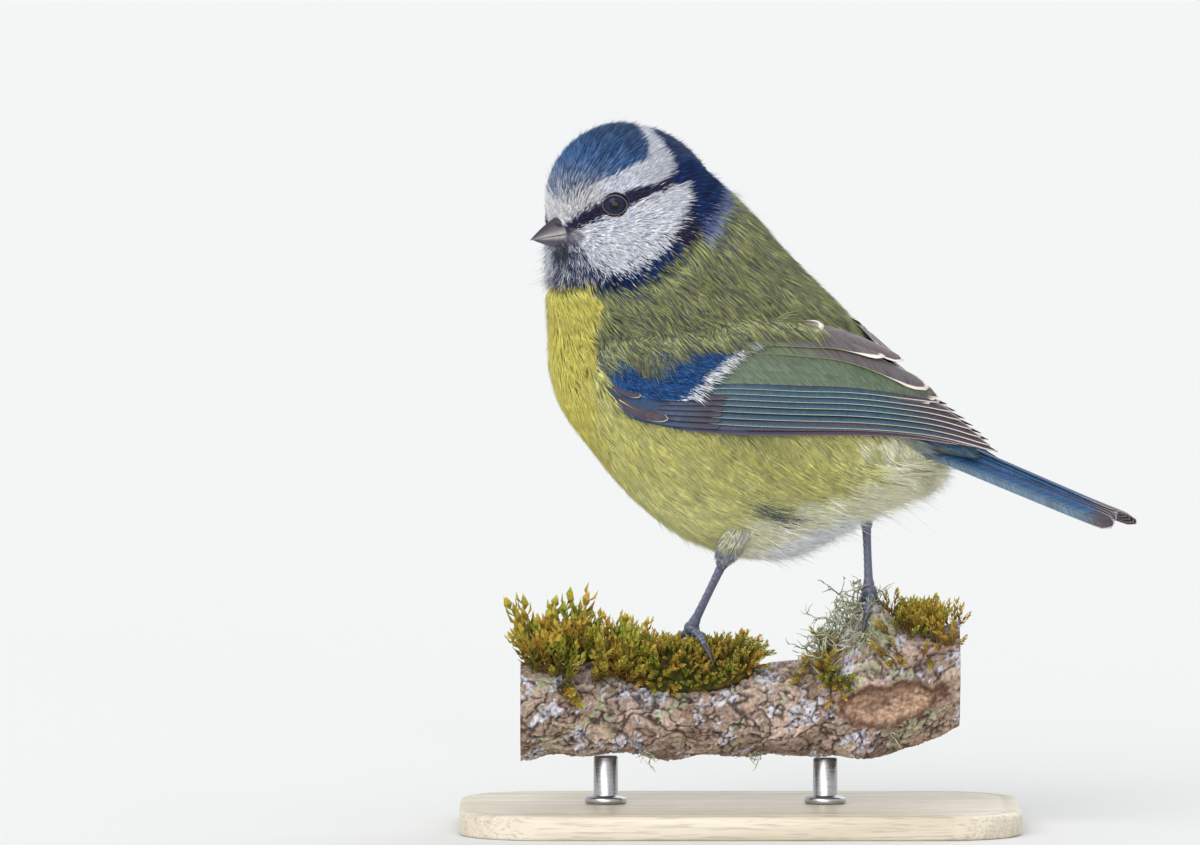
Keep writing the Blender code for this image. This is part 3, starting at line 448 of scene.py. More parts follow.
# where the yellow ends behind, by height; where the white belly ends above; the dark gap between them, in mm
bodyMarking = {
    "yellowBackUp": (60.0, 68.0, 73.3, 75.7, 78.0, 80.4, 83.7, 86.1, 90.0),
    "yellowBackAft": (60.0, 20.0, -13.2, -14.9, -16.9, -18.1, -18.1, -17.6, -16.8),
    "whiteAft": (-6.0, 1.4, 7.2, 13.4, 18.3, 23.6, 28.0, 36.0),
    "whiteUp": (42.0, 43.6, 45.4, 48.0, 49.8, 51.2, 51.8, 52.2),
    "darkAft": 13.2, "darkUp": 52.3,
}
# two tip colours to pick between, colour of the streaks, their share, and how dark the roots are: the
# feathers' own darker bases, and painted shade deep in the coat
palette = {
    "cap": ((74, 120, 180), (106, 148, 200), (18, 34, 80), 0.4, 0.5),
    "brow": ((243, 245, 254), (232, 235, 247), (180, 184, 204), 0.16, 0.9),
    "cheek": ((250, 251, 255), (240, 242, 250), (176, 184, 212), 0.2, 0.9),
    "stripe": ((48, 46, 78), (60, 60, 94), (34, 34, 58), 0.3, 0.7),
    "collar": ((22, 50, 106), (42, 76, 138), (14, 30, 70), 0.4, 0.6),
    "bib": ((88, 100, 142), (246, 249, 254), (36, 44, 78), 0.2, 0.72),
    "nape": ((148, 160, 206), (124, 140, 176), (72, 88, 138), 0.3, 0.65),
    "mantle": ((196, 196, 128), (168, 174, 126), (62, 80, 98), 0.42, 0.56),
    "breast": ((240, 230, 122), (228, 218, 120), (196, 192, 112), 0.16, 0.84),
    "flank": ((242, 236, 140), (232, 227, 150), (164, 172, 138), 0.24, 0.8),
    "pale": ((255, 254, 232), (254, 251, 206), (236, 236, 214), 0.12, 0.94),
    "belly": ((254, 255, 255), (250, 252, 255), (226, 230, 240), 0.12, 0.97),
    "gap": ((104, 116, 124), (176, 176, 140), (70, 82, 98), 0.3, 0.62),
}
regionNames = list(palette)
plumageTones = {"forehead": paint(182, 192, 206), "underBill": paint(24, 24, 38),
                "throat": paint(236, 238, 244), "cream": np.array([0.9, 0.87, 0.8]),
                "litLowFlank": paint(255, 253, 178), "lateFlank": paint(255, 252, 196),
                "gape": paint(146, 138, 146)}


def inRegion(found, *names):        # which of the found markings are these
    return np.isin(found, [regionNames.index(name) for name in names])


def insideBy(x, y, outline):        # degrees or mm inside a closed outline, negative outside
    x, y = x[:, None], y[:, None]
    a = np.array(outline, float)
    b = np.roll(a, -1, axis=0)
    edge = b - a
    t = ((x - a[:, 0]) * edge[:, 0] + (y - a[:, 1]) * edge[:, 1]) / (edge**2).sum(axis=1)
    t = np.clip(t, 0, 1)
    away = np.hypot(x - a[:, 0] - t * edge[:, 0], y - a[:, 1] - t * edge[:, 1]).min(axis=1)
    rising = (a[:, 1] > y) != (b[:, 1] > y)
    crossing = (b[:, 0] - a[:, 0]) * (y - a[:, 1]) / np.where(edge[:, 1] == 0, 1e-9, edge[:, 1]) + a[:, 0]
    inside = (rising & (x < crossing)).sum(axis=1) % 2 == 1
    return np.where(inside, away, -away)


def headAngles(points):
    fore, side, high = headPlace(points)
    rise = high - headUp
    return np.degrees(np.arctan2(np.abs(side), fore)), np.degrees(np.arctan2(rise, np.hypot(fore, side)))


def regionOf(points, jitter=0.0, seed=5):   # which marking each point is in, as a number in regionNames
    rng = np.random.default_rng(seed)
    blur = rng.normal(size=(2, len(points))) * jitter
    turn, rise = headAngles(points)
    softer = 4 + 7 * ease((50 - turn) / 30) * ease((rise + 2) / 8)       # the forehead fades into the cap
    turn, rise = turn + blur[0] * softer, rise + blur[1] * softer
    aft, out, up = (value / mm for value in bodyPlace(points))
    aft, up = aft + blur[0], up + blur[1]
    number = {name: k for k, name in enumerate(regionNames)}
    wander = ripple(points, 6 * mm, 31)
    yellowBack = np.interp(up, bodyMarking["yellowBackUp"], bodyMarking["yellowBackAft"]) + 1.6 * wander
    whiteUp = np.interp(aft, bodyMarking["whiteAft"], bodyMarking["whiteUp"])
    found = np.full(len(points), number["mantle"])
    ahead = aft < yellowBack
    found[ahead] = number["breast"]
    ahead &= aft + 4 * blur[1] + 3 * wander > np.interp(up, (60, 76, 92), (-18, -17, -10))
    found[ahead] = number["flank"]
    found[(up < whiteUp + 4.2 + 1.8 * wander) & (aft > 2)] = number["pale"]
    found[(aft > 31 + 3 * wander) & (up < 66)] = number["pale"]
    found[(up < whiteUp + 0.2 + 0.8 * wander) & (aft > -3)] = number["belly"]
    gap = np.hypot((aft - bodyMarking["darkAft"]) / 1.5, up - bodyMarking["darkUp"])
    gap = gap + 0.6 * wander + 1.6 * blur[0]
    found[(gap < 1.5) & (out > 2)] = number["gap"]
    hood = insideBy(turn, rise, marking["hood"])
    close = np.linalg.norm(points - headCentre, axis=1) < 34 * mm
    found[close & (hood > -4.5) & (turn > 96)] = number["nape"]
    onHead = close & (hood > 0)
    found[onHead] = number["collar"]
    stripe = onHead & (rise > -18) & (rise < 30) & (turn < 96)
    found[stripe] = number["stripe"]
    for name, within in (("brow", 0.4), ("cheek", 0.7), ("bib", 0.0), ("cap", 0.0)):
        found[onHead & (insideBy(turn, rise, marking[name]) > within)] = number[name]
    return found


def plumage(points, seed, jitter=0.35):     # tip and root colour of each feather strand
    rng = np.random.default_rng(seed)
    found = regionOf(points, jitter, seed + 1)
    first, second, streak = (np.array([paint(*palette[name][k]) for name in regionNames]) for k in range(3))
    share, dark = (np.array([palette[name][k] for name in regionNames]) for k in (3, 4))
    pick = rng.uniform(size=len(points)) + 0.3 * ripple(points, 2.6 * mm, 77)
    tip = np.where((pick > 0.55)[:, None], second[found], first[found])
    turn, rise = headAngles(points)
    capShade = np.clip(1.12 - 0.5 * ease((rise - 26) / 50) - 0.1 * ease((turn - 60) / 30), 0.55, 1.2)
    forehead = 0.8 * ease((38 - rise) / 26) * ease((66 - turn) / 40)
    greyed = mixed(tip * capShade[:, None], plumageTones["forehead"], forehead[:, None])
    tip = np.where(inRegion(found, "cap")[:, None], greyed, tip)
    # the throat is white in front, blackest under the bill, mottled behind
    fore, side, up = (value / mm for value in headPlace(points))
    underBill = 0.85 * ease((19 - turn) / 6) * ease((rise + 38) / 7) * ease((side + 1.2) / 1.2)
    inFront = 0.88 * ease((-0.2 - side) / 1.2) * ease((30 - turn) / 8) * ease((-22 - rise) / 5)
    throat = mixed(tip, plumageTones["underBill"], underBill[:, None])
    throat = mixed(throat, plumageTones["throat"], inFront[:, None])
    tip = np.where(inRegion(found, "bib")[:, None], throat, tip)
    creamy = (inRegion(found, "brow") * ease((50 - turn) / 16) * ease((30 - rise) / 10))[:, None]
    tip = tip * (1 - creamy + creamy * plumageTones["cream"])
    # the flank: painted shade under the wing's tip, painted light on its lower part, which lies in shadow,
    # and paler behind
    behind, _, height = (value / mm for value in bodyPlace(points))
    onFlank = inRegion(found, "flank")
    # painted shade, where the wing's tip overhangs the flank
    shade = 0.42 * np.exp(-0.5 * ((behind - 14) / 5) ** 2 - 0.5 * ((height - 66) / 3.5) ** 2) * onFlank
    # painted light: the lower flank mixed towards pale yellow, as it faces down into shadow
    low = 0.85 * ease((60 - height) / 9) * onFlank
    late = ease((behind - 23.5 - 3 * ripple(points, 4 * mm, 83)) / 7)
    light = 0.4 * late * ease((67 - height) / 3) * onFlank
    tip = mixed(tip * (1 - shade[:, None]), plumageTones["litLowFlank"], low[:, None])
    tip = mixed(tip, plumageTones["lateFlank"], light[:, None])
    # the corner of the mouth
    corner = np.hypot((fore - 13.5) / 1.3, (up - 97.0) / 1.25)
    corner = 0.9 * ease((1.25 - corner) / 0.5) * (np.abs(side) > 1.5)
    tip = mixed(tip, plumageTones["gape"], corner[:, None])
    vary = np.where(inRegion(found, "breast", "flank", "pale", "belly"), 0.55, 1.0)
    vary = np.where(inRegion(found, "cap"), 1.6, vary)
    tip = tip * (1 + vary[:, None] * rng.uniform(-0.26, 0.16, size=(len(points), 1)))
    lines = rng.uniform(size=len(points)) + 0.22 * ripple(points, 1.7 * mm, 91)
    streaked = (lines < share[found])[:, None] & (rng.uniform(size=(len(points), 1)) < 0.9)
    streaks = 0.75 * streak[found] * rng.uniform(0.85, 1.25, size=(len(points), 1)) + 0.25 * tip
    tip = np.where(streaked, streaks, tip)
    # roots darker, towards the streak colour: the feathers' own slate bases, and painted shade deep in the
    # coat
    dark = dark[found][:, None]
    return tip, tip * dark + (1 - dark) * streak[found] * 0.7, found


# the skin: one closed surface under the whole coat

skinStyle = {"sides": 144, "rings": 124, "bodyDepth": 1.5 * mm, "headDepth": 0.95 * mm, "faceDepth": 0.5 * mm,
             "underWing": 0.8 * mm, "wingTop": 92 * mm, "wingBottom": 60 * mm, "turns": 30}
billRoot = headPoint(12.4 * mm, 0.0, 97.4 * mm)
eyeForm = {"fore": 8.75 * mm, "up": 102.4 * mm, "radius": 2.35 * mm, "proud": 0.75 * mm,
           "halfLength": 1.78 * mm, "halfHeight": 1.5 * mm, "rows": 33, "sides": 56}


def eyePlace(side):
    out = 1 if side == "left" else -1
    line = headPoint(eyeForm["fore"], out * np.linspace(0, 14 * mm, 400), eyeForm["up"])
    surface = line[np.argmax(bodyField(line) > 0)]
    normal = bodySlope(surface[None])[0][0]
    return surface + normal * (eyeForm["proud"] - eyeForm["radius"]), normal


eyes = {side: eyePlace(side) for side in ("left", "right")}


def sunk(points):                   # the back of the crown lies a little lower than the rest of the coat
    fore, side, up = (value / mm for value in headPlace(points))
    away = (fore + 6) ** 2 + (np.abs(side) - 5) ** 2 + (up - 114) ** 2
    return 1.3 * mm * np.exp(-away / 98)


def coatDepth(points):
    up = points[:, 2]
    toHead = ease((up - 88 * mm) / (10 * mm))
    depth = skinStyle["bodyDepth"] + toHead * (skinStyle["headDepth"] - skinStyle["bodyDepth"])
    toFace = np.linalg.norm(points - billRoot, axis=1)
    for centre, _ in eyes.values():
        toFace = np.minimum(toFace, 2 * mm + np.linalg.norm(points - centre, axis=1))
    near = 1 - ease((toFace - 4 * mm) / (5 * mm))
    return depth + near * (skinStyle["faceDepth"] - depth) + sunk(points)


wingTree = {}
for side in ("left", "right"):
    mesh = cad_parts["wing_" + side].data
    mesh.calc_loop_triangles()
    wingTree[side] = BVHTree.FromPolygons([v.co for v in mesh.vertices],
                                          [t.vertices for t in mesh.loop_triangles])


def makeSkin(material):
    sides, count = skinStyle["sides"], skinStyle["rings"]
    turn = turnsOf(sides)
    heading = bodyPoint(np.cos(turn), np.sin(turn), 0.0)
    share = (1 - np.cos(math.pi * (np.arange(count) + 0.5) / count)) / 2
    low, high = torsoLevels[0, 0], headUp + bodyForm["headAbove"]
    heights = low + (high - low) * (0.35 * share + 0.65 * (np.arange(count) + 0.5) / count)
    middle = torsoLevel(heights)[0]
    raised = ease((heights - 86 * mm) / (14 * mm))
    centre = bodyPoint(middle + raised * (headAft - middle), 0.0, heights)
    near, far = np.zeros((count, sides)), np.full((count, sides), 60 * mm)
    for _ in range(skinStyle["turns"]):
        reach = (near + far) / 2
        inside = bodyField((centre[:, None] + reach[..., None] * heading).reshape(-1, 3)) < 0
        inside = inside.reshape(count, sides)
        near, far = np.where(inside, reach, near), np.where(inside, far, reach)
    points = (centre[:, None] + near[..., None] * heading).reshape(-1, 3)
    bottom = bodyPoint(3.2 * mm, 0.0, low)
    points = np.vstack([points, bottom, centre[-1] + (0, 0, high - heights[-1])])
    direction = bodySlope(points)[0]
    points = points - direction * coatDepth(points)[:, None]
    for k, point in enumerate(points[:-2]):       # stays inside the wings where they stand free
        aft, _, up = bodyPlace(point)
        axis = bodyPoint(aft * 0.75, 0.0, min(max(up, 58 * mm), 78 * mm))
        ray = Vector(point - axis)
        reach = ray.length
        if reach < 2 * mm or up > skinStyle["wingTop"]:
            continue
        for tree in wingTree.values():
            hit = tree.ray_cast(Vector(axis), ray.normalized())[3]
            if hit is not None and hit - skinStyle["underWing"] < reach:
                reach = hit - skinStyle["underWing"]
        points[k] = axis + np.array(ray.normalized()) * reach
    faces = gridFaces(count, sides, closed=True)
    caps = endFans(count, sides, len(points))
    u = np.tile(np.arange(sides) / sides, count)
    v = np.repeat((heights - low) / (high - low), sides)
    uv = np.vstack([np.stack([u, v], 1), [[0.5, 0.0], [0.5, 1.0]]])
    tip, root, _ = plumage(points + direction * coatDepth(points)[:, None], 11, jitter=0.0)
    # the skin a darker mix of tip and root colours: painted shade in the gaps between the strands
    made = pieceFromArrays("skin", points, [faces, caps], material, uv=uv, tint=0.4 * tip + 0.5 * root)
    return made, points, faces, uv


# the coat: every strand is a thin closed sliver that bends over the body


def lieOf(points, normal):          # the way the feathers lie: away from the bill, then down the body
    fromBill = unit(points - billRoot)
    down = bodyPoint(0.80, 0.0, -0.60)
    out = bodyPlace(points)[1]
    spread = bodyPoint(np.zeros(len(points)), 0.16 * np.sign(out) * ease(np.abs(out) / (6 * mm)), 0.0)
    away = ease((np.linalg.norm(points - headCentre, axis=1) - 13 * mm) / (10 * mm))[:, None]
    lie = mixed(fromBill, down + spread, away)
    lie = lie - (lie * normal).sum(axis=1)[:, None] * normal
    return unit(lie)


def turned(direction, normal, angle):
    return unit(direction * np.cos(angle)[:, None] + np.cross(normal, direction) * np.sin(angle)[:, None])


def coverOf(points, normal):        # where a wing lies over a point: its outer face there, if it does
    covered = np.zeros(len(points), bool)
    over = points.copy()
    up = points[:, 2]
    for k in np.flatnonzero((up < skinStyle["wingTop"]) & (up > skinStyle["wingBottom"])):
        start = Vector(points[k] + normal[k] * 9 * mm)
        for tree in wingTree.values():
            hit = tree.ray_cast(start, Vector(-normal[k]), 9 * mm)[0]
            if hit is not None:
                covered[k] = True
                over[k] = hit
                break
    return covered, over


# paths is rows x strands x 3: every strand gets a three-sided ring at each row but the last, its tip
def strandMesh(paths, normals, width, tipTint, rootTint, uv, flat=0.4):
    rows, count = paths.shape[0], paths.shape[1]
    points, tints = [], []
    for row in range(rows - 1):
        along = unit(paths[row + 1] - paths[row])
        across = unit(np.cross(normals[row], along))
        fat = (width * (0.75, 1.0)[min(row, 1)] / 2)[:, None]
        points += [paths[row] - across * fat, paths[row] + across * fat,
                   paths[row] + normals[row] * fat * 2 * flat]
        share = row / (rows - 1)
        tints += [rootTint * (1 - share) ** 1.5 + tipTint * (1 - (1 - share) ** 1.5)] * 3
    points.append(paths[-1])
    tints.append(tipTint)
    each = len(points)
    points = np.stack(points, axis=1).reshape(-1, 3)
    tints = np.stack(tints, axis=1).reshape(-1, 3)
    spot = np.stack([np.cos(np.arange(each) * 2.4), np.sin(np.arange(each) * 2.4)], 1) * 0.0014
    coords = (uv[:, None] + spot[None]).reshape(-1, 2)
    local = [(0, 2, 1)]
    for row in range(rows - 2):
        for side in range(3):
            a, b = row * 3 + side, row * 3 + (side + 1) % 3
            local += [(a, b, b + 3), (a, b + 3, a + 3)]
    last = (rows - 2) * 3
    local += [(last + side, last + (side + 1) % 3, each - 1) for side in range(3)]
    faces = (np.array(local)[None] + each * np.arange(count)[:, None, None]).reshape(-1, 3)
    return points, faces, coords, tints


def strandPiece(name, slot, material, strands):     # strands as strandMesh takes them
    points, faces, uv, tint = strandMesh(*strands)
    return settle(pieceFromArrays(name, points, faces, material, uv=uv, tint=tint), slot)


coatStyle = {
    "headPerSquare": 23.0, "bodyPerSquare": 9.0,     # strands on a square millimetre
    "headWidth": 0.145 * mm, "bodyWidth": 0.15 * mm, "ventMore": 0.4,
    "headRadius": 14 * mm, "neckFade": 9 * mm, "fromEye": 0.35 * mm, "tipFromEye": 0.1 * mm,
    "mouth": (2.75 * mm, 97.3 * mm, 2.5 * mm),    # the bare mouth: half width, middle height, half height
    "length": {"cap": 2.9, "brow": 2.5, "cheek": 2.7, "stripe": 1.8, "collar": 2.9, "bib": 3.2, "nape": 3.8,
               "mantle": 6.0, "breast": 5.2, "flank": 6.2, "pale": 6.4, "belly": 6.8, "gap": 4.2},
    "fluff": {"bib": 0.62, "belly": 0.8, "pale": 0.4, "nape": 0.2}, "leastFluff": 0.12,
    "seed": 21,
}


def headnessOf(points):             # 1 on the head, 0 on the body
    away = np.linalg.norm(points - headCentre, axis=1)
    return 1 - ease((away - coatStyle["headRadius"]) / coatStyle["neckFade"])


def clearOfEyes(points, margin):    # outside the opening of the lids, or behind the eyes
    clear = np.ones(len(points), bool)
    for middle, axis in eyes.values():
        level = unit(np.cross(axis, (0, 0, 1.0)))
        offset = points - middle
        wide = (offset @ level) / (eyeForm["halfLength"] + margin)
        high = (offset @ np.cross(level, axis)) / (eyeForm["halfHeight"] + margin)
        clear &= (np.hypot(wide, high) > 1) | (offset @ axis < 0)
    return clear


def growCoat(skinPoints, skinFaces, skinUv):
    rng = np.random.default_rng(coatStyle["seed"])
    a, b, c, d = (skinPoints[skinFaces[:, k]] for k in range(4))
    area = 0.5 * np.linalg.norm(np.cross(c - a, d - b), axis=1) / mm**2
    centre = (a + b + c + d) / 4
    head, body = coatStyle["headPerSquare"], coatStyle["bodyPerSquare"]
    density = body + headnessOf(centre) * (head - body)
    behind, _, height = (value / mm for value in bodyPlace(centre))
    density = density * (1 + coatStyle["ventMore"] * ease((behind - 14) / 10) * ease((62 - height) / 6))
    number = rng.poisson(area * density)
    quad = np.repeat(np.arange(len(skinFaces)), number)
    s, t = rng.uniform(size=(2, len(quad), 1))
    weights = ((1 - s) * (1 - t), s * (1 - t), s * t, (1 - s) * t)
    root = sum(w * skinPoints[skinFaces[quad, k]] for k, w in enumerate(weights))
    corner = skinUv[skinFaces[quad]]
    wrap = corner[:, :, 0].max(axis=1) - corner[:, :, 0].min(axis=1) > 0.5
    corner[..., 0] += (wrap[:, None] & (corner[..., 0] < 0.5))
    uv = sum(w * corner[:, k] for k, w in enumerate(weights)) % 1.0
    normal = outwards(root)[0]
    headness = headnessOf(root)

    # nothing grows in the eyes or in the mouth
    fore, side, up = headPlace(root)
    wide, level, high = coatStyle["mouth"]
    keep = (np.hypot(side / wide, (up - level) / high) > 1) | (fore < 9 * mm)
    keep &= clearOfEyes(root, coatStyle["fromEye"])
    covered = coverOf(root, normal)[0]

    found = regionOf(root)
    length = np.array([coatStyle["length"][name] for name in regionNames])[found] * mm
    toBill = np.linalg.norm(root - billRoot, axis=1)
    toEye = np.minimum(*(np.linalg.norm(root - middle - axis * eyeForm["radius"], axis=1)
                         for middle, axis in eyes.values()))
    length *= np.clip((toBill - 1.0 * mm) / (9 * mm), 0.24, 1)
    length *= np.clip((toEye - 0.6 * mm) / (5 * mm), 0.35, 1)
    length *= rng.uniform(0.7, 1.25, size=len(root))
    aft, _, rootUp = bodyPlace(root)
    vent = ease((aft - 12 * mm) / (14 * mm)) * ease((64 * mm - rootUp) / (8 * mm))    # long behind the legs
    length *= 1 + 0.45 * vent
    width = coatStyle["bodyWidth"] + headness * (coatStyle["headWidth"] - coatStyle["bodyWidth"])
    width = width * rng.uniform(0.75, 1.2, size=len(root)) * np.clip(length / (1.6 * mm), 0.6, 1)
    width = width * (1 - 0.3 * vent)

    # groups of strands part a little from each feather's own line
    wander = (0.19 - 0.08 * headness) * ripple(root, 4.4 * mm, 51) + 0.05 * rng.normal(size=len(root))
    fluff = [coatStyle["fluff"].get(name, coatStyle["leastFluff"]) for name in regionNames]
    fluff = np.array(fluff)[found] * mm
    fluff = fluff + 0.75 * mm * vent + 0.2 * mm * ease((56 * mm - rootUp) / (6 * mm)) + 0.07 * mm * headness
    rise = fluff * (0.4 + rng.gamma(1.6, 0.6, size=len(root))) * np.clip(length / (2 * mm), 0.3, 1.4)

    rows = 3
    path, normals = [root], [normal]
    here, outward = root, normal
    for row in range(1, rows):
        share = row / (rows - 1)
        direction = turned(lieOf(here, outward), outward, wander * (0.5 + share))
        here = here + direction * (length / (rows - 1))[:, None]
        outward, away = outwards(here)
        deep = (1 - share) ** 1.4
        target = -coatDepth(here) * deep - sunk(here) * (1 - deep) - 0.12 * mm + rise * share**1.6
        here = here + outward * (target - away)[:, None]
        path.append(here)
        normals.append(outward)
    path, normals = np.stack(path), np.stack(normals)
    away = ease((aft - 22 * mm) / (7 * mm)) * ease((66 * mm - rootUp) / (5 * mm))
    away = away * rng.uniform(0.35, 1.0, size=len(root))
    free = unit(0.2 * normal + bodyPoint(0.92, 0.0, -0.36) + 0.08 * rng.normal(size=root.shape))
    for row, share in ((1, 0.5), (2, 1.0)):
        loose = root + free * (0.72 * length * share)[:, None]
        path[row] = mixed(path[row], loose, away[:, None])

    tipCovered, over = coverOf(path[-1], normals[-1])
    midCovered, overMid = coverOf(path[1], normals[1])
    keep &= ~(covered & tipCovered)
    drape = ~covered & tipCovered & (aft < 15 * mm)
    lift = rng.uniform(0.25, 0.6, size=(len(root), 1)) * mm
    path[2] = np.where(drape[:, None], over + normals[2] * lift, path[2])
    path[1] = np.where((drape & midCovered)[:, None], overMid + normals[1] * lift, path[1])
    for row in (1, 2):
        keep &= clearOfEyes(path[row], coatStyle["tipFromEye"])

    tip, base, where = plumage(0.4 * path[1] + 0.6 * path[2], 41)
    strands = (path[:, keep], normals[:, keep], width[keep], tip[keep], base[keep], uv[keep])
    return strands, where[keep]


def coatMaterial(name, roughness):
    made, tree, shader = newMaterial(name, roughness=roughness, Specular_IOR_Level=0.25)
    fleck = [(0.3, 0.82), (0.7, 1.12)]
    colour = shaded(tree, attributeColour(tree), noise(tree, 900.0, 2.0), fleck)
    tree.links.new(colour, shader.inputs["Base Color"])
    addBump(tree, shader, noise(tree, 2400.0, 2.0), 0.05 * mm, 0.5)
    return made


def makeCoat():
    skin, points, faces, uv = makeSkin(coatMaterial("plumage base", 0.85))
    settle(skin, "body_feathers", "head", "neck", "torso")
    coatPaint = coatMaterial("plumage", 0.62)
    strands, where = growCoat(points, faces, uv)
    # pieces by place, each well under the most triangles that a piece may have
    roots = strands[0][0]
    out = bodyPlace(roots)[1]
    side = headPlace(roots)[1]
    rise = headAngles(roots)[1]
    onHead = where < regionNames.index("nape")
    groups = {}
    for kind, chosen in (("crown", onHead & (rise > 22)), ("face", onHead & (rise <= 22) & (rise > -24))):
        groups[kind + "_feathers_left"] = chosen & (side > 0)
        groups[kind + "_feathers_right"] = chosen & (side <= 0)
    groups["throat_feathers"] = onHead & (rise <= -24)
    for kind, names in (("mantle", ("mantle", "nape")), ("breast", ("breast",)), ("flank", ("flank",)),
                        ("belly", ("pale", "belly", "gap"))):
        chosen = ~onHead & inRegion(where, *names)
        groups[kind + "_feathers_left"] = chosen & (out > 0)
        groups[kind + "_feathers_right"] = chosen & (out <= 0)
    for name, chosen in groups.items():
        slot = "face_feathers" if onHead[chosen].any() else "body_feathers"
        if name == "throat_feathers":
            slot = "collar_feathers"
        picked = [values[..., chosen, :] if values.ndim > 1 else values[chosen] for values in strands]
        piece = strandPiece(name, slot, coatPaint, picked)
        print("coat:", name, chosen.sum(), "strands,", len(piece.data.polygons), "triangles")
    return coatPaint


# vanes: thin closed feathers with a shaft, barbs and a pale rim

vaneGrid = {"rows": 26, "thickness": 0.11 * mm, "tilt": 0.2,
            "columns": (0.0, 0.03, 0.1, 0.2, 0.3, 0.42, 0.56, 0.7, 0.84, 0.95, 1.0)}
vaneShapes = {                      # how wide the vane is, by share of its length
    "flight": ((0.0, 0.8), (0.3, 0.95), (0.62, 1.0), (0.86, 0.97), (0.945, 0.82), (0.98, 0.58), (1.0, 0.22)),
    "tertial": ((0.0, 0.75), (0.4, 0.95), (0.78, 1.0), (0.91, 0.92), (0.97, 0.66), (1.0, 0.2)),
    "covert": ((0.0, 0.6), (0.4, 0.95), (0.72, 1.0), (0.9, 0.8), (0.97, 0.5), (1.0, 0.15)),
    "tail": ((0.0, 0.7), (0.5, 0.9), (0.93, 1.0), (0.97, 0.9), (0.99, 0.72), (1.0, 0.4)),
}


# one vane round its shaft; style says where the shaft is and what colours the vane has
def vaneArrays(shafts, acrosses, uppers, width, style, number, cells, rng):
    rows = len(shafts)
    share = np.linspace(0, 1, rows)
    breadth = smooth(share, *np.array(vaneShapes[style["shape"]]).T)
    columns = np.array(vaneGrid["columns"])
    offset = (columns[None] - style["shaftAt"]) * breadth[:, None] * width
    sag = -0.35 * width * ((columns - style["shaftAt"]) ** 2)[None] * breadth[:, None]
    notch = style.get("split", 0.0)
    wave = 1 + notch * 0.06 * np.sin(share * 40 + rng.uniform(0, 6))[:, None] * (np.abs(offset) > 0.3 * width)
    top = (shafts[:, None] + (offset * wave)[..., None] * acrosses[:, None]
           + (sag + 0.5 * vaneGrid["thickness"])[..., None] * uppers[:, None])
    low = top - vaneGrid["thickness"] * uppers[:, None] * np.where(share > 0.98, 0.5, 1.0)[:, None, None]
    rings = np.concatenate([top, low[:, ::-1]], axis=1)
    points, faces = tubeArrays(rings)
    length = np.linalg.norm(np.diff(shafts, axis=0), axis=1).sum()
    along = (share * length)[:, None] + 0 * offset
    side = np.minimum(columns, 1 - columns)[None] * breadth[:, None] * width
    rim = np.minimum(side, (1 - share)[:, None] * length * 0.9)
    outer = (columns < style["shaftAt"])[None]
    first, last, inner = (np.array(paint(*c)) for c in style["colours"])
    turnAt = ease((share - style.get("change", 0.55)) / style.get("changeOver", 0.3))[:, None, None]
    web = np.where(outer, 0.0, ease((columns - style["shaftAt"]) / 0.25)[None])[..., None]
    tint = mixed(mixed(first, inner, web), last, turnAt)
    tint = tint * rng.uniform(0.9, 1.1)
    fringeStart, fringeEnd = (np.array(paint(*c)) for c in style["fringe"])
    endAt = ease((share - 0.72) / 0.16)[:, None, None]
    fringe = mixed(fringeStart, fringeEnd, endAt) + 0 * tint
    barb = [along / mm - np.abs(offset) / mm * 1.3, offset / mm, np.full(offset.shape, number * 3.7)]
    fringeWide = 0.6 + 0.3 * share + style.get("tipPale", 0.8) * ease((share - 0.8) / 0.18)
    fringeWide = np.broadcast_to((style["fringeWidth"] * fringeWide)[:, None], rim.shape)
    edge = [rim / mm, fringeWide, np.abs(offset) / mm]

    def bothFaces(values):          # the same on the underside, and on the two end points
        return tintEnds(np.concatenate([values, values[:, ::-1]], axis=1))

    size = 1 / cells
    cell = np.array([number % cells, number // cells]) * size
    u = np.concatenate([columns * 0.45, 0.96 - columns[::-1] * 0.45])
    uv = np.stack(np.broadcast_arrays(u[None], share[:, None]), axis=-1).reshape(-1, 2)
    uv = np.vstack([uv, [0.5, 0.0], [0.5, 1.0]]) * 0.94 * size + cell + 0.03 * size
    return [points, faces, uv] + [bothFaces(values) for values in (
        tint, np.stack(barb, axis=-1), np.stack(edge, axis=-1), fringe)]


def vanePiece(name, vanes, material):
    points, faces, uv, tint, barb, edge, fringe = joined(vanes)
    return pieceFromArrays(name, points, faces, material, uv=uv, tint=tint,
                           more={"barb": barb, "edge": edge, "fringe": fringe})


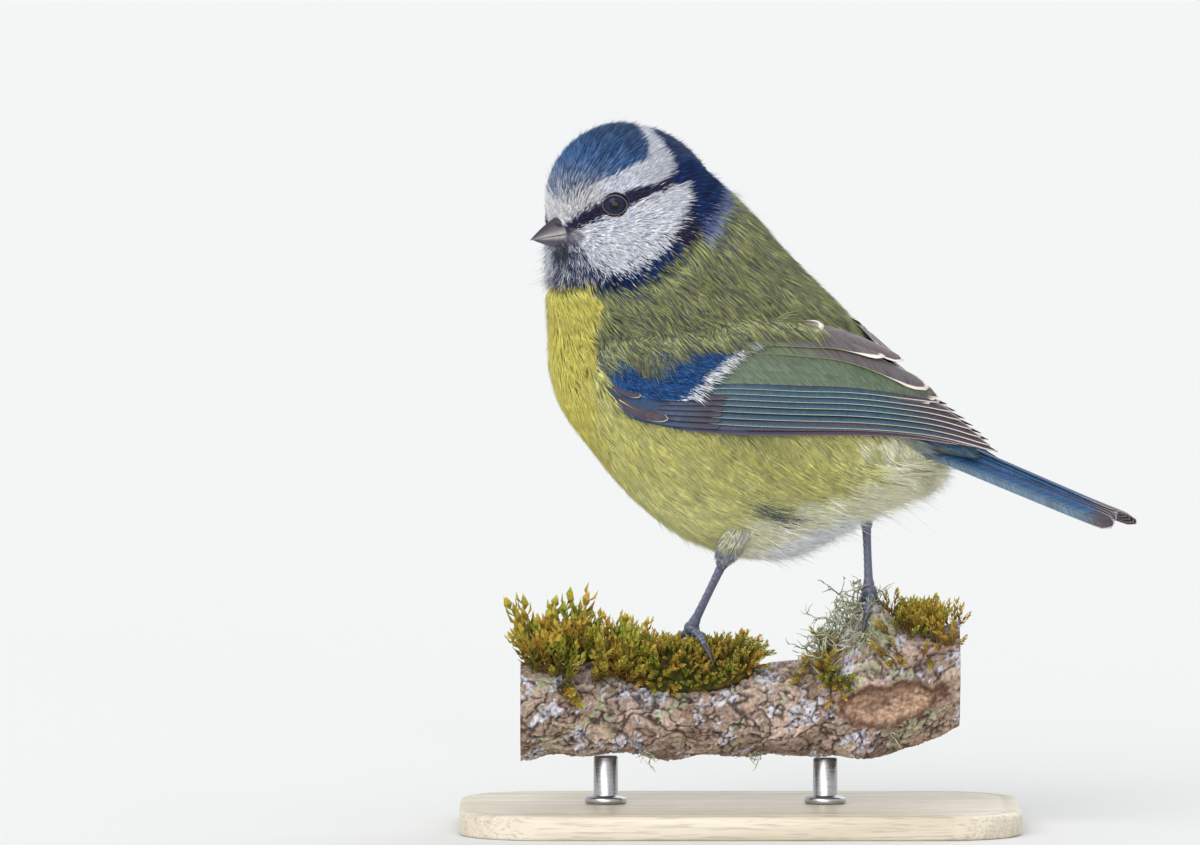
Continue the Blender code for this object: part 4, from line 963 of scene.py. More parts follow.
# barbs run off the shaft in fine slanting lines; the rim is paler and the shaft darker
def vaneMaterial(name):
    made, tree, shader = newMaterial(name, roughness=0.5, Specular_IOR_Level=0.35)
    barb = attributeColour(tree, "barb", "Vector")
    fine = noise(tree, 1.0, 2.0, vector=stretched(tree, barb, (4.2, 0.45, 1.0)))
    coarse = noise(tree, 1.0, 2.0, vector=stretched(tree, barb, (1.5, 0.22, 1.0)))
    edge = splitVector(tree, attributeColour(tree, "edge", "Vector"))
    ragged = node(tree, "ShaderNodeMath", operation="MULTIPLY_ADD")
    tree.links.new(fine, ragged.inputs[0])
    ragged.inputs[1].default_value = 0.12
    tree.links.new(edge[0], ragged.inputs[2])
    share = node(tree, "ShaderNodeMath", operation="DIVIDE")
    tree.links.new(ragged.outputs[0], share.inputs[0])
    tree.links.new(edge[1], share.inputs[1])
    colour = shaded(tree, attributeColour(tree), fine, [(0.34, 0.62), (0.66, 1.3)])
    colour = shaded(tree, colour, coarse, [(0.3, 0.8), (0.7, 1.16)])
    pale = ramp(tree, share.outputs[0], [(0.6, 1.0), (1.05, 0.0)])
    colour = mixColours(tree, pale, colour, attributeColour(tree, "fringe", "Vector"))
    shaft = ramp(tree, edge[2], [(0.03, 0.55), (0.09, 0.0)])
    colour = mixColours(tree, shaft, colour, tuple(paint(38, 30, 36)))
    tree.links.new(colour, shader.inputs["Base Color"])
    addBump(tree, shader, fine, 0.03 * mm, 0.8)
    return made


# the folded wings

# number of vanes, root and tip of the first and the last (or of each) in the sheet's along and across,
# widths and lifts of those two in mm, bend of the line, style
wingTiers = (
    {"count": 3, "root": ((0.3, 0.005), (0.28, 0.06)), "tip": ((0.90, 0.2), (0.975, 0.38)),
     "width": (1.3, 1.5),
     "lift": (-0.1, 0.0), "bend": 2.6, "shape": "flight", "shaftAt": 0.26,
     "colours": ((56, 56, 74), (68, 54, 64), (50, 44, 56)), "fringe": ((136, 128, 136), (184, 170, 166)),
     "fringeWidth": 0.12, "tipPale": 0.0, "change": 0.3},
    {"count": 7, "root": ((0.27, 0.06), (0.27, 0.29)),
     "tip": ((0.99, 0.46), (0.972, 0.56), (0.952, 0.65), (0.932, 0.71), (0.91, 0.755), (0.888, 0.785),
             (0.862, 0.8)),
     "width": (1.6, 2.1), "lift": (0.05, 0.32), "bend": 3.4, "shape": "flight", "shaftAt": 0.3,
     "colours": ((50, 77, 96), (66, 54, 64), (36, 46, 64)), "fringe": ((164, 184, 158), (204, 192, 180)),
     "fringeWidth": 0.19, "tipPale": 0.35, "change": 0.66},
    {"count": 6, "root": ((0.27, 0.31), (0.3, 0.68)), "tip": ((0.832, 0.66), (0.86, 0.86)),
     "width": (3.0, 3.2), "lift": (0.2, 0.4), "bend": 2.0, "shape": "flight", "shaftAt": 0.5, "tilt": 0.1,
     "colours": ((80, 94, 74), (72, 60, 64), (83, 97, 76)), "fringe": ((96, 112, 82), (214, 204, 194)),
     "fringeWidth": 0.12, "tipPale": 1.2, "change": 0.8},
    {"count": 1, "root": ((0.36, 0.66), (0.36, 0.66)), "tip": ((0.838, 0.87), (0.838, 0.87)),
     "width": (4.2, 4.2), "lift": (0.55, 0.55), "bend": 1.3, "shape": "tertial", "shaftAt": 0.46,
     "colours": ((92, 104, 80), (90, 82, 86), (88, 84, 88)), "fringe": ((142, 150, 84), (212, 202, 192)),
     "fringeWidth": 0.14, "tipPale": 4.6, "change": 0.3},
    {"count": 1, "root": ((0.42, 0.9), (0.42, 0.9)), "tip": ((0.79, 1.05), (0.79, 1.05)),
     "width": (3.6, 3.6), "lift": (0.65, 0.65), "bend": 1.1, "shape": "tertial", "shaftAt": 0.5,
     "colours": ((100, 94, 96), (92, 78, 82), (104, 98, 102)), "fringe": ((124, 122, 96), (226, 220, 212)),
     "fringeWidth": 0.12, "tipPale": 3.0, "change": 0.5},
    {"count": 1, "root": ((0.38, 0.76), (0.38, 0.76)), "tip": ((0.745, 0.945), (0.745, 0.945)),
     "width": (4.2, 4.2), "lift": (0.8, 0.8), "bend": 1.1, "shape": "tertial", "shaftAt": 0.46,
     "colours": ((104, 108, 86), (98, 92, 96), (108, 104, 108)), "fringe": ((146, 152, 84), (228, 219, 209)),
     "fringeWidth": 0.13, "tipPale": 7.2, "change": 0.3},
    {"count": 1, "root": ((0.42, 0.95), (0.42, 0.95)), "tip": ((0.63, 1.04), (0.63, 1.04)),
     "width": (3.2, 3.2), "lift": (0.95, 0.95), "bend": 1.0, "shape": "tertial", "shaftAt": 0.5,
     "colours": ((124, 126, 96), (142, 134, 126), (116, 112, 104)),
     "fringe": ((134, 134, 100), (218, 212, 204)), "fringeWidth": 0.12, "tipPale": 6.5, "change": 0.5},
    {"count": 6, "root": ((0.21, 0.02), (0.24, 0.2)), "tip": ((0.4, 0.03), (0.405, 0.205)),
     "width": (1.1, 1.3), "lift": (0.3, 0.45), "bend": 1.2, "shape": "covert", "shaftAt": 0.35,
     "colours": ((54, 66, 92), (58, 54, 68), (50, 54, 72)), "fringe": ((60, 70, 92), (88, 84, 96)),
     "fringeWidth": 0.1, "change": 0.5},
    {"count": 9, "root": ((0.16, 0.24), (0.28, 0.82)), "tip": ((0.335, 0.2), (0.47, 0.8)),
     "width": (1.7, 1.9), "lift": (0.5, 0.6), "bend": 1.2, "shape": "covert", "shaftAt": 0.4,
     "colours": ((56, 92, 138), (150, 166, 178), (60, 92, 130)), "fringe": ((70, 108, 146), (236, 238, 242)),
     "fringeWidth": 0.14, "tipPale": 3.0, "change": 0.8},
    {"count": 2, "root": ((0.08, 0.1), (0.07, 0.2)), "tip": ((0.288, 0.045), (0.215, 0.205)),
     "width": (2.1, 1.3), "lift": (0.6, 0.8), "bend": 1.0, "shape": "covert", "shaftAt": 0.4,
     "colours": ((62, 58, 76), (66, 54, 64), (60, 54, 70)), "fringe": ((90, 90, 96), (186, 178, 168)),
     "fringeWidth": 0.13, "tipPale": 0.6, "change": 0.5},
)
armForm = {"end": 0.46, "out": 0.35 * mm, "in": 0.5 * mm, "rows": 30, "columns": 22}
# the hem of the back's feathers: how far down the wing they reach, by share of its length
hemAlong = (-0.05, 0.04, 0.1, 0.16, 0.24, 0.3, 0.38, 0.44, 0.5)
hemAcross = (0.76, 0.68, 0.76, 0.62, 0.66, 0.76, 0.8, 0.9, 1.0)


def between(places, share):         # a share of the way through a row of places
    steps = np.linspace(0, 1, len(places))
    return np.array([np.interp(share, steps, column) for column in np.array(places, float).T])


def wingVane(root, tip, width, lift, bend, style, number, cells, side, rng):
    share = np.linspace(0, 1, vaneGrid["rows"])
    if side == "right" and tip[0] > 0.8:          # the far wing tip lies behind the near one
        tip = tip * np.array([0.94, 0.8])
    along = root[0] + (tip[0] - root[0]) * share
    across = root[1] + (tip[1] - root[1]) * share**bend
    here, normal = wingSheet(along, across), wingNormal(along, across)
    heading = unit(np.gradient(here, axis=0))
    sideways = unit(np.cross(normal, heading))
    sideways = sideways * np.where(sideways[:, 2:] > 0, 1.0, -1.0)
    sideways = unit(sideways - style.get("tilt", vaneGrid["tilt"]) * normal)
    upper = unit(normal - (normal * sideways).sum(axis=1)[:, None] * sideways)
    rise = (-0.08 + (lift + 0.08) * ease(share / 0.3))[:, None] * mm
    middle = here + rise * normal
    world = wingToWorld(middle, side)
    tipOf = [wingToWorld(middle + step * mm, side) - world for step in (sideways, upper)]
    return vaneArrays(world, unit(tipOf[0]), unit(tipOf[1]), width * mm, style, number, cells, rng)


def makeWing(side, vanePaint, coatPaint):
    rng = np.random.default_rng(61)
    vanes = []
    for tier in wingTiers:
        for k in range(tier["count"]):
            share = k / max(tier["count"] - 1, 1)
            root, tip = (between(tier[key], share) for key in ("root", "tip"))
            width, lift = (mixed(*tier[key], share) for key in ("width", "lift"))
            vanes.append(wingVane(root, tip, width, lift, tier["bend"], tier, len(vanes), 7, side, rng))
    settle(vanePiece("wing_feathers_" + side, vanes, vanePaint), "wing_feathers", "wing_" + side)
    # the arm that the feathers grow from
    grid = np.linspace(0, 1, armForm["rows"]), np.linspace(0.0, 1.0, armForm["columns"])
    share, across = np.meshgrid(*grid, indexing="ij")
    along = share * armForm["end"]
    sheet, normal = wingSheet(along, across), wingNormal(along, across)
    front = np.sqrt(np.clip(share * 8 + 0.25, 0, 1))[..., None]
    sinks = 0.5 * mm * ease((share - 0.4) / 0.5)[..., None]
    outer = sheet + normal * (front * armForm["out"] - sinks)
    inner = sheet - normal * front * armForm["in"]
    points, faces = tubeArrays(wingToWorld(np.concatenate([outer, inner[:, ::-1]], axis=1), side))
    over = np.concatenate([across, across[:, ::-1]], axis=1) > np.interp(along[:, :1], hemAlong, hemAcross)
    over = np.append(over.reshape(-1), [False, False])
    tint = np.where(over[:, None], paint(92, 98, 84), paint(44, 66, 98))
    settle(pieceFromArrays("wing_arm_" + side, points, faces, coatPaint, tint=tint), "wing_feathers")


covertStyle = {"count": 8500, "length": (1.4, 2.6), "width": 0.12 * mm, "barWidth": (0.03, 0.02),
               "barAt": (0.352, 0.46), "lowestAlong": (0.0, 0.05, 0.2, 0.29, 0.33),
               "lowestAcross": (0.42, 0.24, 0.235, 0.2, 0.2), "shares": (0.46, 0.28, 0.18, 0.08),
               "blues": [paint(40, 90, 158), paint(56, 108, 172), paint(30, 62, 118), paint(78, 114, 150)],
               "greener": paint(112, 128, 112), "whites": [paint(250, 251, 253), paint(228, 232, 238)]}
drapeStyle = {"count": 5200, "length": (3.0, 5.6), "width": 0.15 * mm, "spread": 0.42, "lowestUp": 77 * mm,
              "anglesAlong": (0.0, 0.3, 0.45, 0.58), "angles": (-0.95, -0.7, -0.35, -0.12)}


# strands laid on the wing's sheet: start is (along, across), heading is in mm along the sheet
def sheetStrands(name, side, start, heading, length, lift, width, tip, root, material, slot):
    rows = 3
    small = 1e-3
    along, across = start
    path, normals = [], []
    a, b = along, across
    for row in range(rows):
        share = row / (rows - 1)
        flat, normal = wingSheet(a, b), wingNormal(a, b)
        height = lift[0] * (1 - share) + lift[1] * share**1.5 + lift[2] * math.sin(math.pi * share)
        world = wingToWorld(flat + normal * height[:, None], side)
        normals.append(unit(wingToWorld(flat + normal * (height[:, None] + mm), side) - world))
        path.append(world)
        perAlong = np.maximum(np.linalg.norm(wingSheet(a + small, b) - flat, axis=1) / small, 12 * mm)
        perAcross = np.linalg.norm(wingSheet(a, b + small) - flat, axis=1) / small
        a = a + heading[0] * length / (rows - 1) / perAlong
        b = b + heading[1] * length / (rows - 1) / np.maximum(perAcross, 6 * mm)
    uv = np.stack([np.clip(along, 0, 1) * 0.9 + 0.05, np.clip(across, 0, 1.1) * 0.85 + 0.03], axis=1)
    return strandPiece(name, slot, material, (np.stack(path), np.stack(normals), width, tip, root, uv))


def makeCoverts(side, coatPaint):   # soft blue coverts over the arm, ending in the white bar
    rng = np.random.default_rng(71)
    count = covertStyle["count"]
    along, across = rng.uniform(-0.01, 0.45, count), rng.uniform(0.14, 1.0, count)
    barStart, barEnd = covertStyle["barAt"]
    barAt = barStart + (barEnd - barStart) * np.clip((across - 0.19) / 0.57, 0, 1.3)
    lowest = np.interp(along, covertStyle["lowestAlong"], covertStyle["lowestAcross"])
    keep = (across > lowest) & (along < barAt - 0.012)
    keep &= across < np.interp(along, hemAlong, hemAcross) + 0.07
    along, across, barAt = along[keep], across[keep], barAt[keep]
    count = len(along)
    length = rng.uniform(*covertStyle["length"], count) * mm * np.clip(0.6 + along * 2, 0.6, 1.15)
    angle = -0.34 + 0.10 * rng.normal(size=count) + 0.16 * np.sin(along * 60 + across * 13)
    heading = (np.cos(angle), np.sin(angle))
    height = np.interp(along, (0.0, 0.1, 0.3, 0.45), (0.3, 0.6, 0.75, 0.8)) * mm
    lift = (height - 0.25 * mm, height + rng.uniform(0.0, 0.35, count) * mm, 0.25 * mm * np.ones(count))
    barWide = np.interp(across, (0.2, 0.75), covertStyle["barWidth"])
    inBar = along + 0.5 * length / (46 * mm) > barAt - barWide + 0.008 + 0.006 * rng.normal(size=count)
    tip = np.array(covertStyle["blues"])[rng.choice(4, size=count, p=covertStyle["shares"])]
    tip = mixed(tip, covertStyle["greener"], ease((across - 0.55) / 0.4)[:, None] * 0.5)
    white = np.array(covertStyle["whites"])[rng.integers(0, 2, count)]
    tip = np.where(inBar[:, None], white, tip * rng.uniform(0.72, 1.2, size=(count, 1)))
    # roots darker copies of the tips: painted shade deep in the coverts
    root = np.where(inBar[:, None], tip * 0.8, tip * 0.65)
    width = covertStyle["width"] * rng.uniform(0.8, 1.2, count)
    sheetStrands("wing_coverts_" + side, side, (along, across), heading, length, lift, width, tip, root,
                 coatPaint, "wing_feathers")
    makeDrape(side, coatPaint, rng)


def makeDrape(side, coatPaint, rng):        # feathers of the back that drape over the wing's upper edge
    count = drapeStyle["count"]
    along = rng.uniform(-0.05, 0.5, count)
    hem = np.interp(along, hemAlong, hemAcross)
    across = hem + 0.04 * rng.normal(size=count) + rng.uniform(0.0, 1.0, count) ** 1.3 * drapeStyle["spread"]
    length = rng.uniform(*drapeStyle["length"], count) * mm
    angle = np.interp(along, drapeStyle["anglesAlong"], drapeStyle["angles"]) + 0.05 * rng.normal(size=count)
    angle = angle + 0.2 * np.sin(along * 31 + across * 7)
    height = np.interp(along, (0.0, 0.1, 0.3, 0.5), (0.45, 0.8, 0.95, 1.0)) * mm
    tipHeight = height + 0.05 * mm + rng.uniform(0.0, 0.25, count) * mm
    lift = (height - 0.5 * mm, tipHeight, 0.14 * mm * np.ones(count))
    place = wingToWorld(wingSheet(along, np.minimum(across, 1.1)), side)
    place[:, 2] = np.maximum(place[:, 2], drapeStyle["lowestUp"])
    tip, root, _ = plumage(place, 73)
    above = (0.86 + 0.14 * ease((hem + 0.34 - across) / 0.14))[:, None]         # painted shade along the top edge, which turns up to the light
    # painted shade: the drape darker as a whole, as it faces the light more than the back
    tip, root = tip * 0.84 * above, root * 0.78
    root = root + (0.9 * tip - root) * ease((across - hem - 0.2) / 0.12)[:, None]    # the roots' painted shade left out there, so no dark line shows
    width = drapeStyle["width"] * rng.uniform(0.8, 1.2, count)
    heading = (np.cos(angle), np.sin(angle))
    sheetStrands("shoulder_feathers_" + side, side, (along, across), heading, length, lift, width, tip, root,
                 coatPaint, "body_feathers")


def makeWings(coatPaint):
    vanePaint = vaneMaterial("flight feathers")
    for side in ("left", "right"):
        makeWing(side, vanePaint, coatPaint)
        makeCoverts(side, coatPaint)
        print("wing ready:", side)
    return vanePaint


# the tail

tailForm = {"drop": math.radians(18.9), "rootAft": 31.5 * mm, "rootUp": 66.6 * mm, "length": 41.5 * mm,
            "start": 3.5 * mm, "pairs": 6, "step": 0.8 * mm, "fall": 0.44 * mm, "lean": (0.2, 1.5),
            "notch": 1.6 * mm, "width": (2.6 * mm, 2.8 * mm)}
tailStyle = {"shape": "tail", "shaftAt": 0.42, "colours": ((42, 80, 118), (54, 48, 60), (34, 58, 96)),
             "fringe": ((70, 96, 124), (158, 150, 150)), "fringeWidth": 0.11, "tipPale": 0.7, "change": 0.82,
             "changeOver": 0.13}
outerTail = dict(tailStyle, colours=((86, 110, 130), (70, 62, 68), (40, 80, 122)),
                 fringe=((160, 170, 172), (178, 170, 168)))
# the core that the coverts lie on: its length, and its half height and half width by share of that
rumpForm = {"length": 15.0 * mm, "start": -1.0 * mm, "at": (0.0, 0.4, 0.8, 1.0), "rows": 14, "sides": 36,
            "halves": mm * np.array([(3.4, 6.0), (2.9, 5.5), (1.7, 4.7), (0.8, 4.0)]), "under": 0.6 * mm}
rumpStyle = {"count": 6000, "width": 0.17 * mm, "fade": paint(150, 164, 172),
             "above": [paint(84, 124, 150), paint(70, 110, 156), paint(110, 132, 132)],
             "below": [paint(250, 244, 190), paint(240, 232, 150), paint(214, 218, 216)]}


def tailFrame():
    root = bodyPoint(tailForm["rootAft"], 0.0, tailForm["rootUp"])
    along = bodyPoint(math.cos(tailForm["drop"]), 0.0, -math.sin(tailForm["drop"]))
    across = bodyPoint(0.0, 1.0, 0.0)
    return root, along, across, -np.cross(along, across)


def makeTail(vanePaint, coatPaint):
    root, along, across, upward = tailFrame()
    rng = np.random.default_rng(83)
    vanes = []
    share = np.linspace(0, 1, vaneGrid["rows"])
    for pair in range(tailForm["pairs"]):
        for side in (-1, 1):
            outer = pair / (tailForm["pairs"] - 1)
            offset = side * tailForm["step"] * (pair + 0.6)
            drop = tailForm["fall"] * (pair + (0.35 if side > 0 else 0.0))
            length = tailForm["length"] - tailForm["notch"] * (1 - outer) - 0.5 * mm * rng.uniform()
            reach = tailForm["start"] + (length - tailForm["start"]) * share
            spread, fall = 0.6 + 0.4 * share, 1.3 - 0.6 * share
            middle = (root + reach[:, None] * along + (offset * spread)[:, None] * across
                      + (0.2 * mm + 0.7 * mm * (1 - share) - drop * fall)[:, None] * upward)
            lean = tailForm["lean"][0] + outer * (tailForm["lean"][1] - tailForm["lean"][0])
            outward = np.tile(unit(side * across - lean * upward), (len(share), 1))
            upper = np.tile(unit(upward + side * lean * across), (len(share), 1))
            wide = tailForm["width"][0] + outer * (tailForm["width"][1] - tailForm["width"][0])
            style = outerTail if pair == tailForm["pairs"] - 1 else tailStyle
            vanes.append(vaneArrays(middle, -outward, upper, wide, style, len(vanes), 4, rng))
    settle(vanePiece("tail_vanes", vanes, vanePaint), "tail_feathers", "tail")
    makeRump(coatPaint, rng)


def makeRump(coatPaint, rng):       # coverts over and under the tail's root, and the core that they lie on
    root, along, across, upward = tailFrame()

    def rumpPoint(where, around, lift):     # on the core, at a share of its length and a turn about it
        half = smoothPoints(where, rumpForm["at"], rumpForm["halves"]) + lift[..., None] - rumpForm["under"]
        place = root + (rumpForm["length"] * where[..., None] + rumpForm["start"]) * along
        return (place + (half[..., 1] * np.cos(around))[..., None] * across
                + (half[..., 0] * np.sin(around))[..., None] * upward)

    grid = np.meshgrid(np.linspace(0, 1, rumpForm["rows"]), turnsOf(rumpForm["sides"]), indexing="ij")
    points, faces = tubeArrays(rumpPoint(grid[0], grid[1], np.zeros(grid[0].shape)))
    pale = (points - root) @ upward < 0
    # the core at half brightness: painted shade under the coverts
    tint = np.where(pale[:, None], paint(120, 126, 124), paint(60, 84, 104)) * 0.5
    settle(pieceFromArrays("tail_core", points, faces, coatPaint, tint=tint), "tail_feathers")
    count = rumpStyle["count"]
    around = rng.uniform(0, 2 * math.pi, count)
    above = np.sin(around) > -0.15
    where = np.where(above, rng.uniform(-0.45, 0.78, count), rng.uniform(-0.6, 0.16, count))
    length = np.where(above, rng.uniform(2.4, 4.4, count), rng.uniform(4.0, 7.5, count)) * mm
    length = length / rumpForm["length"]
    twist = 0.08 * rng.normal(size=count)
    loose = np.where(above, rng.uniform(0.1, 0.4, count), rng.uniform(0.2, 1.4, count))
    path = np.stack([rumpPoint(where + length * s, around + twist * s, (-0.1 + s * loose) * mm)
                     for s in (0.0, 0.5, 1.0)])
    normals = unit(np.cos(around)[:, None] * across + np.sin(around)[:, None] * upward)
    pick = rng.integers(0, 3, count)
    below = np.array(rumpStyle["below"])[pick]
    below = below + (rumpStyle["fade"] - below) * 0.8 * ease((where + 0.2) / 0.2)[:, None]
    tip = np.where(above[:, None], np.array(rumpStyle["above"])[pick], below)
    tip = tip * rng.uniform(0.85, 1.08, size=(count, 1))
    # roots darker copies of the tips: painted shade at the roots
    base = tip * np.where(above, 0.55, 0.85)[:, None]
    uv = np.stack([around / (2 * math.pi) * 0.95, (where + 0.5) / 1.6], axis=1)
    width = rumpStyle["width"] * rng.uniform(0.8, 1.2, count)
    strandPiece("tail_coverts", "tail_feathers", coatPaint,
                (path, np.stack([normals] * 3), width, tip, base, uv))


# eyes, lids and bill

lidForm = {"halfLength": 1.86 * mm, "halfHeight": 1.54 * mm, "thickness": 0.19 * mm, "steps": 120,
           "sides": 14}
billForm = {"rootFore": 10.6 * mm, "faceFore": 12.7 * mm, "tipFore": 18.8 * mm, "rootUp": 97.6 * mm,
            "tipUp": 96.7 * mm, "halfWidth": 2.95 * mm, "upperDepth": 3.05 * mm, "lowerDepth": 2.25 * mm,
            "gap": 0.12 * mm, "nostril": (14.2 * mm, 98.95 * mm), "nostrilSize": 0.36 * mm,
            "rows": 46, "sides": 44}


def eyeMaterial():                  # almost black, with a dark blue-grey iris and a wet surface
    made, tree, shader = newMaterial("eye", roughness=0.25, Specular_IOR_Level=0.1, Coat_Weight=0.55,
                                     Coat_Roughness=0.015, Coat_IOR=1.33)
    ring = splitVector(tree, attributeColour(tree, "ring", "Vector"))
    fleck = noise(tree, 2600.0, 3.0)
    iris = ramp(tree, fleck, [(0.35, paint(15, 20, 46)), (0.65, paint(32, 40, 72))])
    pupil = ramp(tree, ring[0], [(0.42, paint(4, 5, 12)), (0.47, paint(20, 25, 52)),
                                 (0.72, paint(16, 21, 45)), (0.85, paint(6, 8, 18))])
    shade = ramp(tree, ring[0], [(0.42, 0.0), (0.48, 0.6), (0.75, 0.4), (0.85, 0.0)])
    tree.links.new(mixColours(tree, shade, pupil, iris), shader.inputs["Base Color"])
    addBump(tree, shader, fleck, 0.004 * mm, 0.4)
    return made


def makeEye(side, eyePaint, lidPaint):
    centre, axis = eyes[side]
    level = unit(np.cross(axis, (0, 0, 1.0)))
    upright = np.cross(level, axis)
    radius = eyeForm["radius"]
    rise = np.linspace(0, math.pi, eyeForm["rows"])[1:-1]
    spokes = [math.cos(b) * level + math.sin(b) * upright for b in turnsOf(eyeForm["sides"])]
    rings = [[centre + radius * (-math.cos(a) * axis + math.sin(a) * spoke) for spoke in spokes]
             for a in rise]
    points, faces = tubeArrays(np.array(rings))
    points[-2:] = centre - radius * axis, centre + radius * axis
    offset = points - centre
    flat = offset - (offset @ axis)[:, None] * axis
    away = np.where(offset @ axis > 0, np.linalg.norm(flat, axis=1) / (1.9 * mm), 1.2)
    ring = np.stack([away, away * 0, away * 0], 1)
    ball = pieceFromArrays("eyeball_" + side, points, faces, eyePaint, more={"ring": ring})
    settle(ball, "eyes", "eye_" + side)
    # the rims of the lids, finely beaded
    steps, sides = lidForm["steps"], lidForm["sides"]
    turn = turnsOf(steps)
    corner = 1 + 0.05 * np.cos(2 * turn)
    spoke = (lidForm["halfLength"] * corner * np.cos(turn))[:, None] * level
    spoke = spoke + (lidForm["halfHeight"] * np.sin(turn))[:, None] * upright
    bed = np.sqrt(radius**2 - (spoke**2).sum(axis=1)) - 0.02 * mm
    middle = centre + spoke + bed[:, None] * axis
    outward = unit(spoke)
    roll = turnsOf(sides)
    bead = 1 + 0.10 * np.sin(turn * 26)[:, None] + 0.05 * np.sin(turn * 61 + 1)[:, None]
    size = lidForm["thickness"] * bead * np.ones(sides)
    points = middle[:, None] + (size * np.cos(roll) * 0.8)[..., None] * outward[:, None]
    points = points + (size * np.sin(roll) * 0.9)[..., None] * axis
    quads = gridFaces(steps, sides, closed=True)
    step = np.arange(sides)
    turnTo = (step + 1) % sides
    last = (steps - 1) * sides
    quads = np.vstack([quads, np.stack([last + step, last + turnTo, turnTo, step], 1)])
    inner = np.cos(roll)[None] * np.ones((steps, 1))
    tint = np.where((inner < -0.15)[..., None], paint(26, 20, 26), paint(98, 82, 86))
    tint = tint * (0.85 + 0.3 * bead[..., None] - 0.25)
    facing = np.cross(points[0, 1] - points[0, 0], points[1, 0] - points[0, 0])
    if np.dot(facing, points[0, 0] - middle[0]) <= 0:
        quads = quads[:, ::-1]
    lid = pieceFromArrays("lids_" + side, points.reshape(-1, 3), quads, lidPaint, tint=tint.reshape(-1, 3))
    settle(lid, "face_feathers")


def billArrays(lower):
    t = np.linspace(0, 1, billForm["rows"])
    roll = turnsOf(billForm["sides"])
    fore = billForm["rootFore"] + t * (billForm["tipFore"] - billForm["rootFore"])
    past = np.clip((fore - billForm["faceFore"]) / (billForm["tipFore"] - billForm["faceFore"]), 0, 1)
    shrink = (1 - past**1.4) * 0.97 + 0.03
    middle = billForm["rootUp"] + past * (billForm["tipUp"] - billForm["rootUp"])
    rise, out = np.sin(roll), np.cos(roll)
    if lower:
        depth = np.where(rise > 0, 0.14 * mm, billForm["lowerDepth"])
        middle = middle - billForm["gap"]
        fore = fore - 0.35 * mm * past
    else:
        depth = np.where(rise > 0, billForm["upperDepth"], 0.04 * mm)
        fore = fore + 0.1 * mm * past**4
    ridge = 1 + 0.05 * np.abs(rise)[None] ** 12 * (past[:, None] < 0.9)
    pinch = 1 - 0.10 * np.abs(out * rise)[None]
    side = billForm["halfWidth"] * shrink[:, None] * out[None] * pinch
    up = middle[:, None] + rise[None] * depth[None] * shrink[:, None] * ridge * pinch
    fore = fore[:, None] + 0 * side
    if not lower:                   # the tip bends down a little; nostrils are small hollows near the face
        up = up - 0.25 * mm * (past[:, None] ** 3)
        holeFore, holeUp = billForm["nostril"]
        away = np.hypot((fore - holeFore) / 1.5, up - holeUp) / billForm["nostrilSize"]
        for which in (-1, 1):
            dent = np.exp(-0.5 * away**4) * (np.sign(side) == which)
            side = side - which * dent * 0.35 * mm
    return headPoint(fore, side, up), past, rise, fore, up


def makeBill():
    horn = grainyMaterial("horn of the bill", 0.6, 1500.0, 3.0, [(0.3, 0.82), (0.7, 1.14)], 0.02 * mm, 0.5,
                          Specular_IOR_Level=0.35)
    base, pale, tipTone = paint(90, 85, 97), paint(168, 164, 160), paint(70, 64, 76)
    for name, dark in (("upper", paint(56, 51, 62)), ("lower", paint(96, 92, 106))):
        rings, past, rise, fore, up = billArrays(name == "lower")
        points, faces = tubeArrays(rings)
        ridge = ease((np.abs(rise) - 0.45) / 0.5)[None] * np.ones((len(past), 1))
        edge = np.exp(-0.5 * ((np.abs(rise) - 0.1) / 0.16) ** 2)[None] * np.ones((len(past), 1))
        tint = mixed(base, dark, ridge[..., None])
        tint = mixed(tint, pale, 0.8 * edge[..., None])
        tint = mixed(tint, tipTone, 0.45 * ease((past - 0.7) / 0.3)[:, None, None])
        if name == "upper":
            holeFore, holeUp = billForm["nostril"]
            away = np.hypot((fore - holeFore) / 1.5, up - holeUp) / (0.8 * billForm["nostrilSize"])
            # the nostrils darkened: painted shade in their hollows
            tint = tint * (1 - 0.9 * np.exp(-0.5 * away**4)[..., None])
        piece = pieceFromArrays("bill_horn_" + name, points, faces, horn, tint=tintEnds(tint))
        settle(piece, "bill", "bill_" + name)


def makeFace():
    eyePaint = eyeMaterial()
    lidPaint = grainyMaterial("lid skin", 0.55, 2200.0, 3.0, [(0.3, 0.75), (0.7, 1.2)], 0.03 * mm, 0.6)
    for side in ("left", "right"):
        makeEye(side, eyePaint, lidPaint)
    makeBill()
    print("face ready")


# the perch's form, which the feet stand on

gap = 0.3 * mm
perchForm = {
    "stations": mm * np.array([-36.0, -20.0, 0.0, 12.0, 21.0, 28.0, 36.0]),
    "up": mm * np.array([19.0, 19.3, 19.3, 19.6, 20.6, 22.6, 25.4]),
    "radius": mm * np.array([7.6, 7.2, 7.4, 7.8, 9.0, 9.0, 8.4]),
    "lumps": 0.35 * mm,
    "knobAt": 21.0 * mm, "knobHeight": 7.4 * mm, "knobAlong": 4.0 * mm, "knobAround": 0.38,
    "mossAt": -9.5 * mm, "mossHalf": 12.0 * mm, "mossHeight": 4.2 * mm, "mossAround": 0.62,
}


